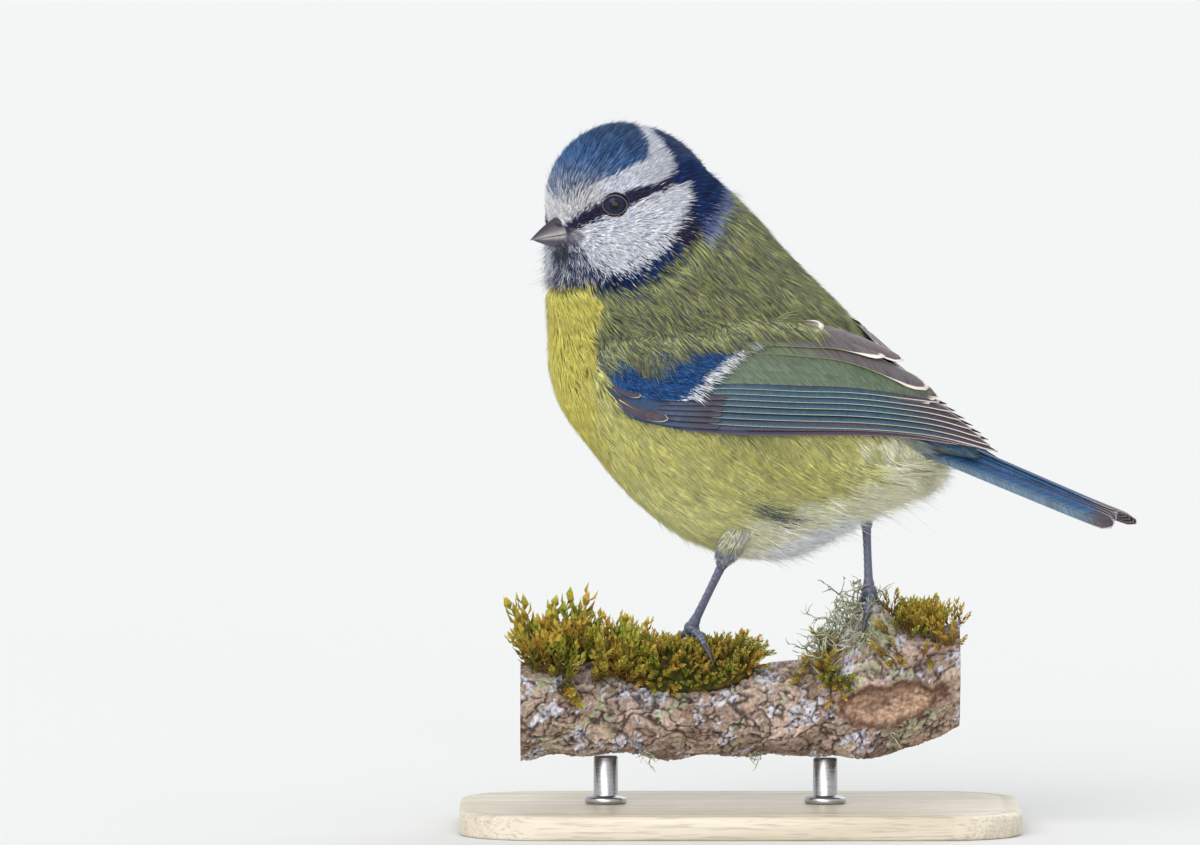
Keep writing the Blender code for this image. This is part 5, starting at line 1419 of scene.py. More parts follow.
def perchRadius(x, turn):
    radius = smooth(x, perchForm["stations"], perchForm["radius"])
    ridges = np.sin(3 * turn + 160 * x) + 0.7 * np.sin(5 * turn - 310 * x + 1.0)
    knots = 0.8 * np.sin(2 * turn + 540 * x + 2.0)
    knob = perchForm["knobHeight"] * np.exp(-0.5 * ((x - perchForm["knobAt"]) / perchForm["knobAlong"]) ** 2)
    radius = radius + perchForm["lumps"] * (ridges + knots)
    return radius + knob * np.exp(-0.5 * (turn / perchForm["knobAround"]) ** 2)


def mossHeight(x, turn):
    away = np.clip(np.abs(x - perchForm["mossAt"]) / perchForm["mossHalf"], 0, 1)
    high = perchForm["mossHeight"] * np.sqrt(1 - away**2)
    return high * np.exp(-0.5 * (turn / perchForm["mossAround"]) ** 2)


def perchMiddle(x):
    return smooth(x, perchForm["stations"], perchForm["up"])


def perchPoint(x, turn, lift):
    x, turn, lift = np.broadcast_arrays(*(np.asarray(value, float) for value in (x, turn, lift)))
    radius = perchRadius(x, turn) + lift
    return np.stack([x, radius * np.sin(turn), perchMiddle(x) + radius * np.cos(turn)], axis=-1)


# legs, feet and claws

legForm = {
    "ankle": {"left": (1.2 * mm, 8.0 * mm, 44.2 * mm), "right": (18.3 * mm, -9.8 * mm, 50.0 * mm)},
    "footAt": {"left": -7.9 * mm, "right": 21.2 * mm}, "hindDrift": {"left": 0.75 * mm, "right": -0.35 * mm},
    "shank": 0.72 * mm, "scutes": 10, "palm": 1.25 * mm, "toe": 0.62 * mm, "step": 1.9 * mm,
    "claw": 0.5 * mm, "frontSteps": (4, 5, 4), "frontOffsets": (-0.5 * mm, 0.0, 0.5 * mm),
    "frontDrifts": (-0.95 * mm, -0.1 * mm, 0.85 * mm), "hindSteps": 3, "clawSteps": 2,
    "shankAt": (0, 0.06, 0.14, 0.5, 0.86, 0.95, 1.0), "shankBulge": (1.2, 1.4, 1.05, 0.92, 1.02, 1.3, 1.2),
    "drumstick": {"left": (2.3 * mm, 2.0 * mm, 0.75 * mm), "right": (1.4 * mm, 1.05 * mm, 0.72 * mm)},
    "drumstickLength": 7.0 * mm,
}
# rows and sides of each mesh
legMesh = {"shank": (150, 28), "toe": (26, 20), "pad": (21, 28), "claw": (40, 18), "drumstick": (20, 24)}
legTones = {"slate": paint(92, 96, 118), "pale": paint(136, 140, 158), "dark": paint(44, 46, 62),
            "claw": paint(44, 42, 52), "clawRoot": paint(110, 106, 112)}
drumstickStyle = {"count": 1300, "length": (1.4, 2.8), "width": 0.17 * mm,
                  "core": (paint(190, 190, 140), paint(118, 122, 138)),
                  "upper": [paint(222, 222, 196), paint(196, 202, 206), paint(208, 206, 156)],
                  "lower": [paint(124, 130, 148), paint(156, 162, 176), paint(196, 200, 208)]}


def standingLift(side, x, turn):
    return 3 * gap + 0.6 * mm + float(mossHeight(x, turn)) if side == "left" else 1.5 * gap


def toePath(side, x, drift, direction, steps):
    turn, path = 0.0, []
    for step in range(steps + legForm["clawSteps"] + 1):
        past = max(step - steps, 0) / legForm["clawSteps"]
        thickness = legForm["toe"] * (1 - 0.45 * past)
        path.append(perchPoint(x, turn, standingLift(side, x, turn) + thickness))
        slide = 0.02 * direction
        lift = standingLift(side, x, turn + slide) + thickness
        pace = np.linalg.norm(perchPoint(x, turn + slide, lift) - path[-1])
        turn += slide * legForm["step"] / pace
        x += drift * (1.0 if step else 0.4)
    return np.array(path)


def scaleBands(phase, around):     # overlapping plates: steep at their upper edge, worn at the lower
    return (phase % 1.0) ** 0.6 * ease((around + 0.25) / 0.5)


def platedTint(plates, groove, paler, darker):      # slate, paler on the plates and dark between them
    tint = mixed(legTones["slate"], legTones["pale"], paler * plates[..., None])
    return mixed(tint, legTones["dark"], darker * groove[..., None])


def makeLeg(side, legPaint, clawPaint, coatPaint):
    ankle = bodyPoint(*legForm["ankle"][side])
    x = legForm["footAt"][side]
    palm = perchPoint(x, 0.0, standingLift(side, x, 0.0) + legForm["palm"])
    down = unit(palm - ankle)
    sideways = np.array([1.0, 0, 0])
    makeShank(side, ankle, palm, down, sideways, legPaint)
    makeFoot(side, palm, sideways, legPaint, clawPaint)
    makeDrumstick(side, ankle, down, sideways, coatPaint)


def makeShank(side, ankle, palm, down, sideways, legPaint):     # with its plates in front
    rows, sides = legMesh["shank"]
    t = np.linspace(0, 1, rows)
    hem, top = ankle - down * 0.6 * mm, palm - down * legForm["palm"] * 0.4
    path = hem + t[:, None] * (top - hem)
    bulge = smooth(t, legForm["shankAt"], legForm["shankBulge"])
    rings = sweptRings(path, legForm["shank"] * bulge, sideways, sides)
    forward = -bodyPoint(1.0, 0.0, 0.0)
    spoke = unit(rings - path[:, None])
    front = spoke @ unit(forward - (forward @ down) * down)
    plates = scaleBands(t[:, None] * legForm["scutes"], front)
    behind = 0.35 * (0.5 + 0.5 * np.sin(t[:, None] * 210 + front * 6)) * ease((-front - 0.1) / 0.4)
    rings = rings + spoke * ((plates * 0.11 - 0.04 + behind * 0.04) * mm)[..., None]
    groove = np.clip(1 - (t[:, None] * legForm["scutes"] % 1.0) / 0.16, 0, 1) * ease((front + 0.25) / 0.4)
    tint = platedTint(plates, groove, 0.4, 0.8)
    points, faces = tubeArrays(rings)
    piece = pieceFromArrays("shank_" + side, points, faces, legPaint, tint=tintEnds(tint))
    settle(piece, "leg_skin", "tarsus_" + side)


def toeLines(side, hindOffset=0.0):  # where each toe runs: three in front and the hind one
    x = legForm["footAt"][side]
    lines = [toePath(side, x + offset, drift, 1, steps) for offset, drift, steps
             in zip(legForm["frontOffsets"], legForm["frontDrifts"], legForm["frontSteps"])]
    return lines + [toePath(side, x + hindOffset, legForm["hindDrift"][side], -1, legForm["hindSteps"])]


def makeFoot(side, palm, sideways, legPaint, clawPaint):        # toes: padded beneath, plated above
    parts, claws = [], []
    rows, sides = legMesh["toe"]
    for path, number in zip(toeLines(side, 0.3 * mm), (2, 3, 4, 1)):
        toe = path[:-legForm["clawSteps"]]
        fine = np.linspace(0, len(toe) - 1, rows * (len(toe) - 1) + 1)
        line = smoothPoints(fine, np.arange(len(toe)), toe)
        swell = 1 + 0.15 * np.cos(2 * math.pi * fine) - 0.28 * fine / fine[-1]
        close = np.sqrt(np.clip((fine[-1] - fine) / 0.25, 0.12, 1))
        rings = sweptRings(line, legForm["toe"] * swell * close, sideways, sides)
        spoke = unit(rings - line[:, None])
        outward = unit(line - np.stack([line[:, 0], 0 * line[:, 0], perchMiddle(line[:, 0])], 1))
        above = (spoke * outward[:, None]).sum(axis=2)
        plates = scaleBands(fine[:, None] * 3.2, above)
        pads = ease((-above - 0.1) / 0.5) * (0.5 + 0.5 * np.cos(2 * math.pi * fine[:, None]))
        rings = rings + spoke * ((plates * 0.10 - 0.03 + pads * 0.08) * mm)[..., None]
        groove = np.clip(1 - (fine[:, None] * 3.2 % 1.0) / 0.2, 0, 1) * ease((above + 0.2) / 0.4)
        points, faces = tubeArrays(rings)
        parts.append((points, faces, tintEnds(platedTint(plates, groove, 0.35, 0.75))))
        claws.append((path[-legForm["clawSteps"] - 1:], number, outward[-1]))
    rows, sides = legMesh["pad"]
    a, b = np.meshgrid(np.linspace(0, math.pi, rows)[1:-1], turnsOf(sides), indexing="ij")
    ball = np.stack([np.sin(a) * np.cos(b), np.sin(a) * np.sin(b), -0.9 * np.cos(a)], axis=-1)
    pad = palm + 1.04 * legForm["palm"] * ball * (1 + 0.03 * np.sin(9 * b) * np.sin(7 * a))[..., None]
    points, faces = tubeArrays(pad)
    bands = 0.5 + 0.5 * np.sin(pad[..., 2] / mm * 9)
    parts.append((points, faces, tintEnds(legTones["slate"] * (0.8 + 0.35 * bands[..., None]))))
    points, faces, tint = joined(parts)
    settle(pieceFromArrays("toes_" + side, points, faces, legPaint, tint=tint), "leg_skin", "foot_" + side)
    rows, sides = legMesh["claw"]
    for path, number, outward in claws:
        t = np.linspace(0, legForm["clawSteps"], rows)
        line = smoothPoints(t, np.arange(legForm["clawSteps"] + 1), path)
        line[0] -= unit(path[1] - path[0]) * 0.15 * mm
        share = t / legForm["clawSteps"]
        line = line + outward * (0.35 * mm * np.sin(math.pi * share))[:, None]
        radii = legForm["claw"] * (1 - share**1.4) * 0.85 + 0.03 * mm
        rings = sweptRings(line, radii, sideways, sides, squash=1.15)
        share = share[:, None, None]
        shade = legTones["claw"] * (1 - share * 0.4) + legTones["clawRoot"] * 0.25 * (1 - share)
        points, faces = tubeArrays(rings)
        claw = pieceFromArrays("horn_%s_%d" % (side, number), points, faces, clawPaint,
                               tint=tintEnds(shade + np.zeros(rings.shape)))
        settle(claw, "claws", "claw_%s_%d" % (side, number))


def makeDrumstick(side, ankle, down, sideways, coatPaint):      # short and feathered, with its own coat
    rows, sides = legMesh["drumstick"]
    t = np.linspace(0, 1, rows)
    start = ankle - down * legForm["drumstickLength"]
    path = start + t[:, None] * (ankle + down * 0.3 * mm - start)
    girth = legForm["drumstick"][side]
    rings = sweptRings(path, smooth(t, (0, 0.5, 1), girth), sideways, sides)
    tint = mixed(*drumstickStyle["core"], ease((t - 0.2) / 0.3)[:, None, None]) + np.zeros(rings.shape)
    points, faces = tubeArrays(rings)
    core = pieceFromArrays("drumstick_" + side, points, faces, coatPaint, tint=tintEnds(tint))
    settle(core, "thigh_feathers", "thigh_" + side)
    rng = np.random.default_rng(91)
    count = drumstickStyle["count"]
    place, turn = rng.uniform(-0.3, 0.98, count), rng.uniform(0, 2 * math.pi, count)
    across = unit(np.cross(down, sideways))
    spoke = np.cos(turn)[:, None] * sideways + np.sin(turn)[:, None] * across
    radius = smooth(np.clip(place, 0, 1), (0, 0.5, 1), girth) - 0.06 * mm
    root = start + place[:, None] * (ankle - start) + spoke * radius[:, None]
    length = rng.uniform(*drumstickStyle["length"], count) * mm * (1.15 - 0.65 * np.clip(place, 0, 1))
    flare = rng.uniform(0.1, 0.5, count)
    path = np.stack([root + down * (length * s)[:, None] + spoke * (length * flare * s**1.5 * 0.35)[:, None]
                     for s in (0, 0.33, 0.67, 1)])
    upper, lower = (np.array(drumstickStyle[key])[rng.integers(0, 3, count)] for key in ("upper", "lower"))
    tip = mixed(upper, lower, ease((place - 0.15) / 0.3)[:, None]) * rng.uniform(0.85, 1.1, size=(count, 1))
    uv = np.stack([turn / 6.6, place], axis=1)
    width = drumstickStyle["width"] * rng.uniform(0.8, 1.2, count)
    # roots at 0.6 of the tips: painted shade at the roots
    strandPiece("drumstick_feathers_" + side, "thigh_feathers", coatPaint,
                (path, np.stack([spoke] * 4), width, tip, tip * 0.6, uv))


def makeLegs(coatPaint):
    legPaint = grainyMaterial("leg scales", 0.42, 1800.0, 4.0, [(0.3, 0.72), (0.7, 1.22)], 0.03 * mm, 0.7,
                              Specular_IOR_Level=0.45)
    clawPaint = grainyMaterial("claw horn", 0.3, 1200.0, 3.0, [(0.3, 0.8), (0.7, 1.2)], 0.015 * mm, 0.5,
                               Specular_IOR_Level=0.5)
    for side in ("left", "right"):
        makeLeg(side, legPaint, clawPaint, coatPaint)
        print("leg ready:", side)


# bark

barkStyle = {"along": 380, "around": 210, "capRings": 16, "crack": 0.55 * mm, "crackWidth": 0.22,
             "hollowAt": 24.2 * mm, "hollowTurn": -1.64, "hollowHalf": (8.6 * mm, 3.2 * mm),
             "hollowTilt": -0.12, "hollowDepth": 1.5 * mm, "lip": 0.55 * mm, "plate": 0.28 * mm,
             "grit": 0.07 * mm, "lichen": 0.16 * mm, "underFeet": 0.12 * mm, "footRoom": 5 * mm}
barkTones = {"brown": paint(164, 144, 126), "rose": paint(190, 168, 156), "crack": paint(38, 30, 30),
             "damp": np.array([0.66, 0.5, 0.42]), "green": paint(172, 178, 142),
             "lichen": paint(204, 202, 212), "dot": paint(40, 38, 42), "wood": paint(196, 168, 146),
             "stain": paint(156, 122, 98),
             "heart": paint(80, 50, 36), "rim": paint(66, 38, 28), "sawn": paint(196, 160, 118),
             "year": paint(140, 98, 66), "sawnRim": paint(84, 58, 44)}


# distances to the nearest and second nearest of jittered seeds, one a unit square; v repeats at wrap
def cells(u, v, wrap, seed):
    rng = np.random.default_rng(seed)
    spots = rng.uniform(0.08, 0.92, size=(256, wrap, 2))
    cu, cv = np.floor(u).astype(int), np.floor(v).astype(int)
    best, second = np.full(u.shape, 9.0), np.full(u.shape, 9.0)
    chosen = np.zeros(u.shape, int)
    for du in (-1, 0, 1):
        for dv in (-1, 0, 1):
            spot = spots[(cu + du) % 256, (cv + dv) % wrap]
            away = np.hypot(cu + du + spot[..., 0] - u, cv + dv + spot[..., 1] - v)
            nearer = away < best
            second = np.where(nearer, best, np.minimum(second, away))
            chosen = np.where(nearer, ((cu + du) % 256) * wrap + (cv + dv) % wrap, chosen)
            best = np.where(nearer, away, best)
    return best, second, chosen


def makeBark():
    x = np.linspace(perchForm["stations"][0], perchForm["stations"][-1], barkStyle["along"])
    turn = turnsOf(barkStyle["around"])
    turn = np.where(turn > math.pi, turn - 2 * math.pi, turn)
    gx, gt = np.meshgrid(x, turn, indexing="ij")
    flat = perchPoint(gx, gt, 0.0).reshape(-1, 3)

    def field(*layers):             # a sum of wandering values: share, size in mm, seed and waves of each
        return sum(share * ripple(flat, size * mm, *more) for share, size, *more in layers).reshape(gx.shape)

    warp = field((0.5, 5, 11), (0.22, 1.7, 12))
    warpMore = field((0.5, 4, 13), (0.22, 1.3, 14))
    v = (gt / (2 * math.pi) % 1.0)
    plateNear, plateNext, plate = cells(gx / (5.2 * mm) + warp + 40, v * 17 + warpMore, 17, 3)
    smallNear, smallNext, small = cells(gx / (1.9 * mm) + warp * 1.2 + 90, v * 38 + warpMore * 1.4, 38, 5)
    crack = 1 - ease((plateNext - plateNear) / barkStyle["crackWidth"])
    fissure = (1 - ease((smallNext - smallNear) / 0.2)) * 0.5
    rng = np.random.default_rng(17)
    plateLift, plateTone = rng.uniform(-0.5, 0.5, 256 * 17)[plate], rng.uniform(0.75, 1.2, 256 * 17)[plate]
    smallTone = rng.uniform(0.86, 1.12, 256 * 38)[small]
    grit = field((1, 0.7, 23, 9))
    lichen = ease((field((1, 7.5, 31), (0.75, 2.4, 32), (0.35, 0.9, 33)) - 0.42) / 0.16)
    green = ease((field((1, 9, 41), (0.7, 2.1, 42)) - 0.72) / 0.16)
    speckle = ease((field((1, 0.8, 51, 9)) - 0.35) / 0.2)
    # the hollow of a lost side branch
    girth = perchRadius(gx, gt)
    alongHollow, acrossHollow = gx - barkStyle["hollowAt"], (gt - barkStyle["hollowTurn"]) * girth
    tilt = barkStyle["hollowTilt"]
    hollowLong = (alongHollow + tilt * acrossHollow) / barkStyle["hollowHalf"][0]
    hollowWide = (acrossHollow - tilt * alongHollow) / barkStyle["hollowHalf"][1]
    uneven = field((0.2, 3.4, 71), (0.07, 1.2, 72))
    hollowAway = np.hypot(hollowLong, hollowWide) + uneven
    hollow = 1 - ease((hollowAway - 0.62) / 0.34)
    lip = np.exp(-0.5 * ((hollowAway - 1.02) / 0.12) ** 2)
    bareWood = 1 - ease((hollowAway - 1.05) / 0.15)
    feet = sum(np.exp(-0.5 * (np.hypot(gx - footX, girth * gt) / barkStyle["footRoom"]) ** 2)
               for footX in legForm["footAt"].values())
    feet = np.clip(feet, 0, 1)
    lift = (-barkStyle["crack"] * np.maximum(crack, fissure) * (1 - bareWood)
            + barkStyle["plate"] * plateLift * (1 - crack) * (1 - bareWood) + barkStyle["grit"] * grit
            + barkStyle["lichen"] * lichen * (1 + 0.6 * grit) * (1 - bareWood)
            - barkStyle["hollowDepth"] * hollow + barkStyle["lip"] * lip)
    lift = np.where(feet > 0.3, np.minimum(lift, barkStyle["underFeet"]), lift)
    side = perchPoint(gx, gt, lift)
    tone = (plateTone * smallTone * (1 + 0.18 * grit))[..., None]
    tint = mixed(barkTones["brown"], barkTones["rose"], ease(0.5 + 0.5 * field((1, 6, 61)))[..., None]) * tone
    damp = ease(0.35 + 0.8 * field((1, 8, 95), (0.4, 2.5, 96)))[..., None]
    tint = mixed(tint, tint * barkTones["damp"], 0.45 * damp)
    # painted shade: the cracks and fissures darkened towards near black
    tint = mixed(tint, barkTones["crack"], 0.88 * crack[..., None])
    tint = mixed(tint, barkTones["crack"], 0.6 * fissure[..., None])
    tint = mixed(tint, barkTones["green"], (green * (1 - crack) * 0.75)[..., None])
    lichenTint = barkTones["lichen"] * (0.92 + 0.16 * grit)[..., None]
    tint = mixed(tint, lichenTint, (lichen * (1 - 0.8 * crack) * 0.88)[..., None])
    dots = np.maximum(lichen, 0.35 * ease(0.5 + field((1, 5, 55)))) * speckle * 0.8
    tint = mixed(tint, barkTones["dot"], dots[..., None])
    streakAcross = np.sin(gt * 60 + 6 * warp + gx * 200)
    stain = ease(0.5 + 0.9 * field((0.8, 1.4, 73), (0.7, 0.6, 74)))[..., None]
    wood = mixed(barkTones["wood"], barkTones["stain"], stain)
    wood = wood * (1 + 0.08 * streakAcross + 0.12 * grit)[..., None]
    fromHeart = np.hypot(hollowLong + 0.1, hollowWide - 0.25) + 2 * uneven
    darkCentre = (1 - ease((fromHeart - 0.2) / 0.35))[..., None]
    wood = mixed(wood, barkTones["heart"], 0.55 * darkCentre)
    tint = mixed(tint, wood, bareWood[..., None])
    # a dark ring on the hollow's inner slope: painted shadow under its lip
    rim = (0.85 * np.exp(-0.5 * ((hollowAway - 0.95) / 0.1) ** 2))[..., None]
    tint = mixed(tint, barkTones["rim"], rim)
    # sawn ends: flat discs of rings
    shrink = np.linspace(0.02, 0.97, barkStyle["capRings"])
    caps, capTints = [], []
    for k in (0, -1):
        centre = np.array([x[k], 0.0, perchMiddle(x[k])])
        rings = centre + shrink[:, None, None] * (side[k] - centre)
        year = 0.5 + 0.5 * np.sin(shrink[:, None] * 46 + 0.8 * np.sin(3 * turn)[None])
        ray = 0.94 + 0.08 * np.sin(41 * turn)[None] * shrink[:, None]
        tone = mixed(barkTones["sawn"], barkTones["year"], 0.4 * year[..., None])
        tone = np.where((shrink > 0.9)[:, None, None], barkTones["sawnRim"], tone * ray[..., None])
        caps.append(rings)
        capTints.append(tone)
    rings = np.concatenate([caps[0], side, caps[1][::-1]])
    tint = np.concatenate([capTints[0], tint, capTints[1][::-1]])
    points, faces = tubeArrays(rings)
    made, tree, shader = newMaterial("bark", roughness=0.88, Specular_IOR_Level=0.2)
    fine, mid = noise(tree, 1500.0, 5.0, 0.7), noise(tree, 700.0, 5.0, 0.6)
    colour = shaded(tree, attributeColour(tree), fine, [(0.28, 0.55), (0.72, 1.35)])
    colour = shaded(tree, colour, mid, [(0.3, 0.7), (0.7, 1.2)])
    tree.links.new(colour, shader.inputs["Base Color"])
    addBump(tree, shader, mid, 0.25 * mm, 0.8)
    addBump(tree, shader, fine, 0.08 * mm, 0.9)
    bark = pieceFromArrays("bark", points, faces, made, tint=tintEnds(tint))
    settle(bark, "bark", "perch_branch")
    print("bark ready:", len(faces), "triangles")


# moss: leafy shoots spread over a cushion by Geometry Nodes

mossStyle = {"perSquareMetre": 1.5e6, "seed": 4, "least": 0.7, "most": 1.2, "shoot": 4.4 * mm, "leaves": 17,
             "bend": 0.35 * mm, "clear": 1.9 * mm, "lowWithin": 6 * mm, "lowDenser": 1.3, "lean": 0.75,
             "size": 0.72, "lowSize": 0.5, "cushionMesh": (60, 44), "bedMesh": 30,
             "stem": (paint(96, 66, 26), paint(196, 170, 66)),
             "leaf": (paint(92, 72, 36), paint(172, 158, 74)), "bed": (paint(44, 40, 16), paint(84, 76, 28))}
# beds of shoots: from and to along the branch in mm and round it, how many a square metre, seed, lean, size
mossBeds = {"moss_left": (-35.5, -16.5, -0.95, 0.9, 0.9e6, 9, 0.5, 1.5),
            "moss_tall": (-35.5, -26.0, -0.5, 0.6, 0.5e6, 19, 0.4, 2.3),
            "moss_front": (9.5, 17.0, -1.25, 0.0, 1.2e6, 12, 0.9, 0.8),
            "moss_right": (24.5, 35.6, -0.95, 0.9, 1.2e6, 14, 0.7, 1.0)}


def mossShoot():                    # a curved stem with pointed leaves in a spiral, golden at the tip
    parts = []
    t = np.linspace(0, 1, 4)
    stem = np.stack([mossStyle["bend"] * t**2, 0 * t, mossStyle["shoot"] * t], axis=1)
    rings = sweptRings(stem, 0.13 * mm * (1 - 0.7 * t), np.array([0, 1.0, 0]), 3)
    points, faces = tubeArrays(rings)
    tint = mixed(*mossStyle["stem"], t[:, None, None]) + np.zeros(rings.shape)
    parts.append((points, faces, tintEnds(tint)))
    for k in range(mossStyle["leaves"]):
        share = 0.12 + 0.86 * k / (mossStyle["leaves"] - 1)
        turn = k * 2.4
        out = np.array([math.cos(turn), math.sin(turn), 0.0])
        root = np.array([mossStyle["bend"] * share**2, 0, mossStyle["shoot"] * share])
        reach = (1.55 - 0.5 * share) * mm
        tip = root + out * reach * (0.6 - 0.25 * share) + np.array([0, 0, reach * 0.95])
        wide = np.cross(out, (0, 0, 1.0)) * 0.25 * mm
        bend = root + out * reach * 0.34 + np.array([0, 0, reach * 0.4])
        keel = bend + np.array([0, 0, 0.09 * mm]) - out * 0.07 * mm
        points = np.array([root, bend - wide, bend + wide, keel, tip])
        faces = np.array([(0, 1, 2), (0, 3, 1), (0, 2, 3), (4, 2, 1), (4, 1, 3), (4, 3, 2)])
        corner = points[faces]
        facing = np.cross(corner[:, 1] - corner[:, 0], corner[:, 2] - corner[:, 0])
        facing = np.einsum("ij,ij->i", facing, corner.mean(axis=1) - points.mean(axis=0))
        faces[facing < 0] = faces[facing < 0][:, ::-1]
        tint = mixed(*mossStyle["leaf"], share)
        parts.append((points, faces, np.stack([tint * 0.6, tint * 0.85, tint * 0.85, tint, tint * 1.3])))
    points, faces, tint = joined(parts)
    return pieceFromArrays("moss shoot", points, faces, [], tint=tint, smoothShade=False)


def mossMaterial():
    made, tree, shader = newMaterial("moss", roughness=0.75, Specular_IOR_Level=0.25)
    patch, fine = noise(tree, 260.0, 2.0), noise(tree, 1900.0, 3.0)
    hues = [(0.36, (0.62, 0.95, 0.55)), (0.6, (1.25, 1.0, 0.75))]
    colour = shaded(tree, attributeColour(tree), patch, hues)
    colour = shaded(tree, colour, fine, [(0.3, 0.7), (0.7, 1.3)])
    tree.links.new(colour, shader.inputs["Base Color"])
    shader.inputs["Subsurface Weight"].default_value = 0.1
    shader.inputs["Subsurface Scale"].default_value = 0.5 * mm
    addBump(tree, shader, fine, 0.05 * mm, 0.6)
    return made


def scatterTree(name):              # spreads an object over a mesh
    made = bpy.data.node_groups.new(name, "GeometryNodeTree")
    face = made.interface
    for label, kind in (("Geometry", "Geometry"), ("Shoot", "Object"), ("Density", "Float"),
                        ("Least", "Float"), ("Most", "Float"), ("Lean", "Float"), ("Seed", "Int"),
                        ("Material", "Material")):
        face.new_socket(label, in_out="INPUT", socket_type="NodeSocket" + kind)
    face.new_socket("Geometry", in_out="OUTPUT", socket_type="NodeSocketGeometry")
    kinds = {"entry": "NodeGroupInput", "leave": "NodeGroupOutput", "info": "GeometryNodeObjectInfo",
             "spread": "GeometryNodeDistributePointsOnFaces", "place": "GeometryNodeInstanceOnPoints",
             "size": "FunctionNodeRandomValue", "lean": "FunctionNodeRandomValue",
             "turn": "FunctionNodeRotateRotation", "real": "GeometryNodeRealizeInstances",
             "coat": "GeometryNodeSetMaterial", "low": "ShaderNodeCombineXYZ", "high": "ShaderNodeCombineXYZ",
             "minus": "ShaderNodeMath"}
    nodes = {name: made.nodes.new(kind) for name, kind in kinds.items()}
    nodes["lean"].data_type = "FLOAT_VECTOR"
    nodes["turn"].rotation_space = "LOCAL"
    nodes["minus"].operation = "MULTIPLY"
    nodes["minus"].inputs[1].default_value = -1.0
    nodes["high"].inputs[2].default_value = 2 * math.pi
    # each link: from which node and output, to which node and input
    for start, output, end, socket in (
            ("entry", "Geometry", "spread", "Mesh"), ("entry", "Density", "spread", "Density"),
            ("entry", "Seed", "spread", "Seed"), ("entry", "Shoot", "info", "Object"),
            ("spread", "Points", "place", "Points"), ("info", "Geometry", "place", "Instance"),
            ("entry", "Least", "size", 2), ("entry", "Most", "size", 3), ("entry", "Lean", "minus", 0),
            ("minus", 0, "low", 0), ("minus", 0, "low", 1), ("entry", "Lean", "high", 0),
            ("entry", "Lean", "high", 1), ("low", 0, "lean", 0), ("high", 0, "lean", 1),
            ("spread", "Rotation", "turn", "Rotation"), ("lean", 0, "turn", "Rotate By"),
            ("turn", "Rotation", "place", "Rotation"), ("size", 1, "place", "Scale"),
            ("place", "Instances", "real", "Geometry"), ("real", "Geometry", "coat", "Geometry"),
            ("entry", "Material", "coat", "Material"), ("coat", "Geometry", "leave", "Geometry")):
        made.links.new(nodes[start].outputs[output], nodes[end].inputs[socket])
    return made


def scatter(name, bed, tree, values):       # shoots spread over the bed, as a plain mesh; the bed itself is removed
    modifier = bed.modifiers.new("spread", "NODES")
    modifier.node_group = tree
    for item in tree.interface.items_tree:
        if item.in_out == "INPUT" and item.name in values:
            modifier[item.identifier] = values[item.name]
    graph = bpy.context.evaluated_depsgraph_get()
    mesh = bpy.data.meshes.new_from_object(bed.evaluated_get(graph))
    mesh.name = name
    made = placed(name, mesh)
    bpy.data.objects.remove(bed)
    print("scattered:", name, len(mesh.polygons), "faces")
    return made


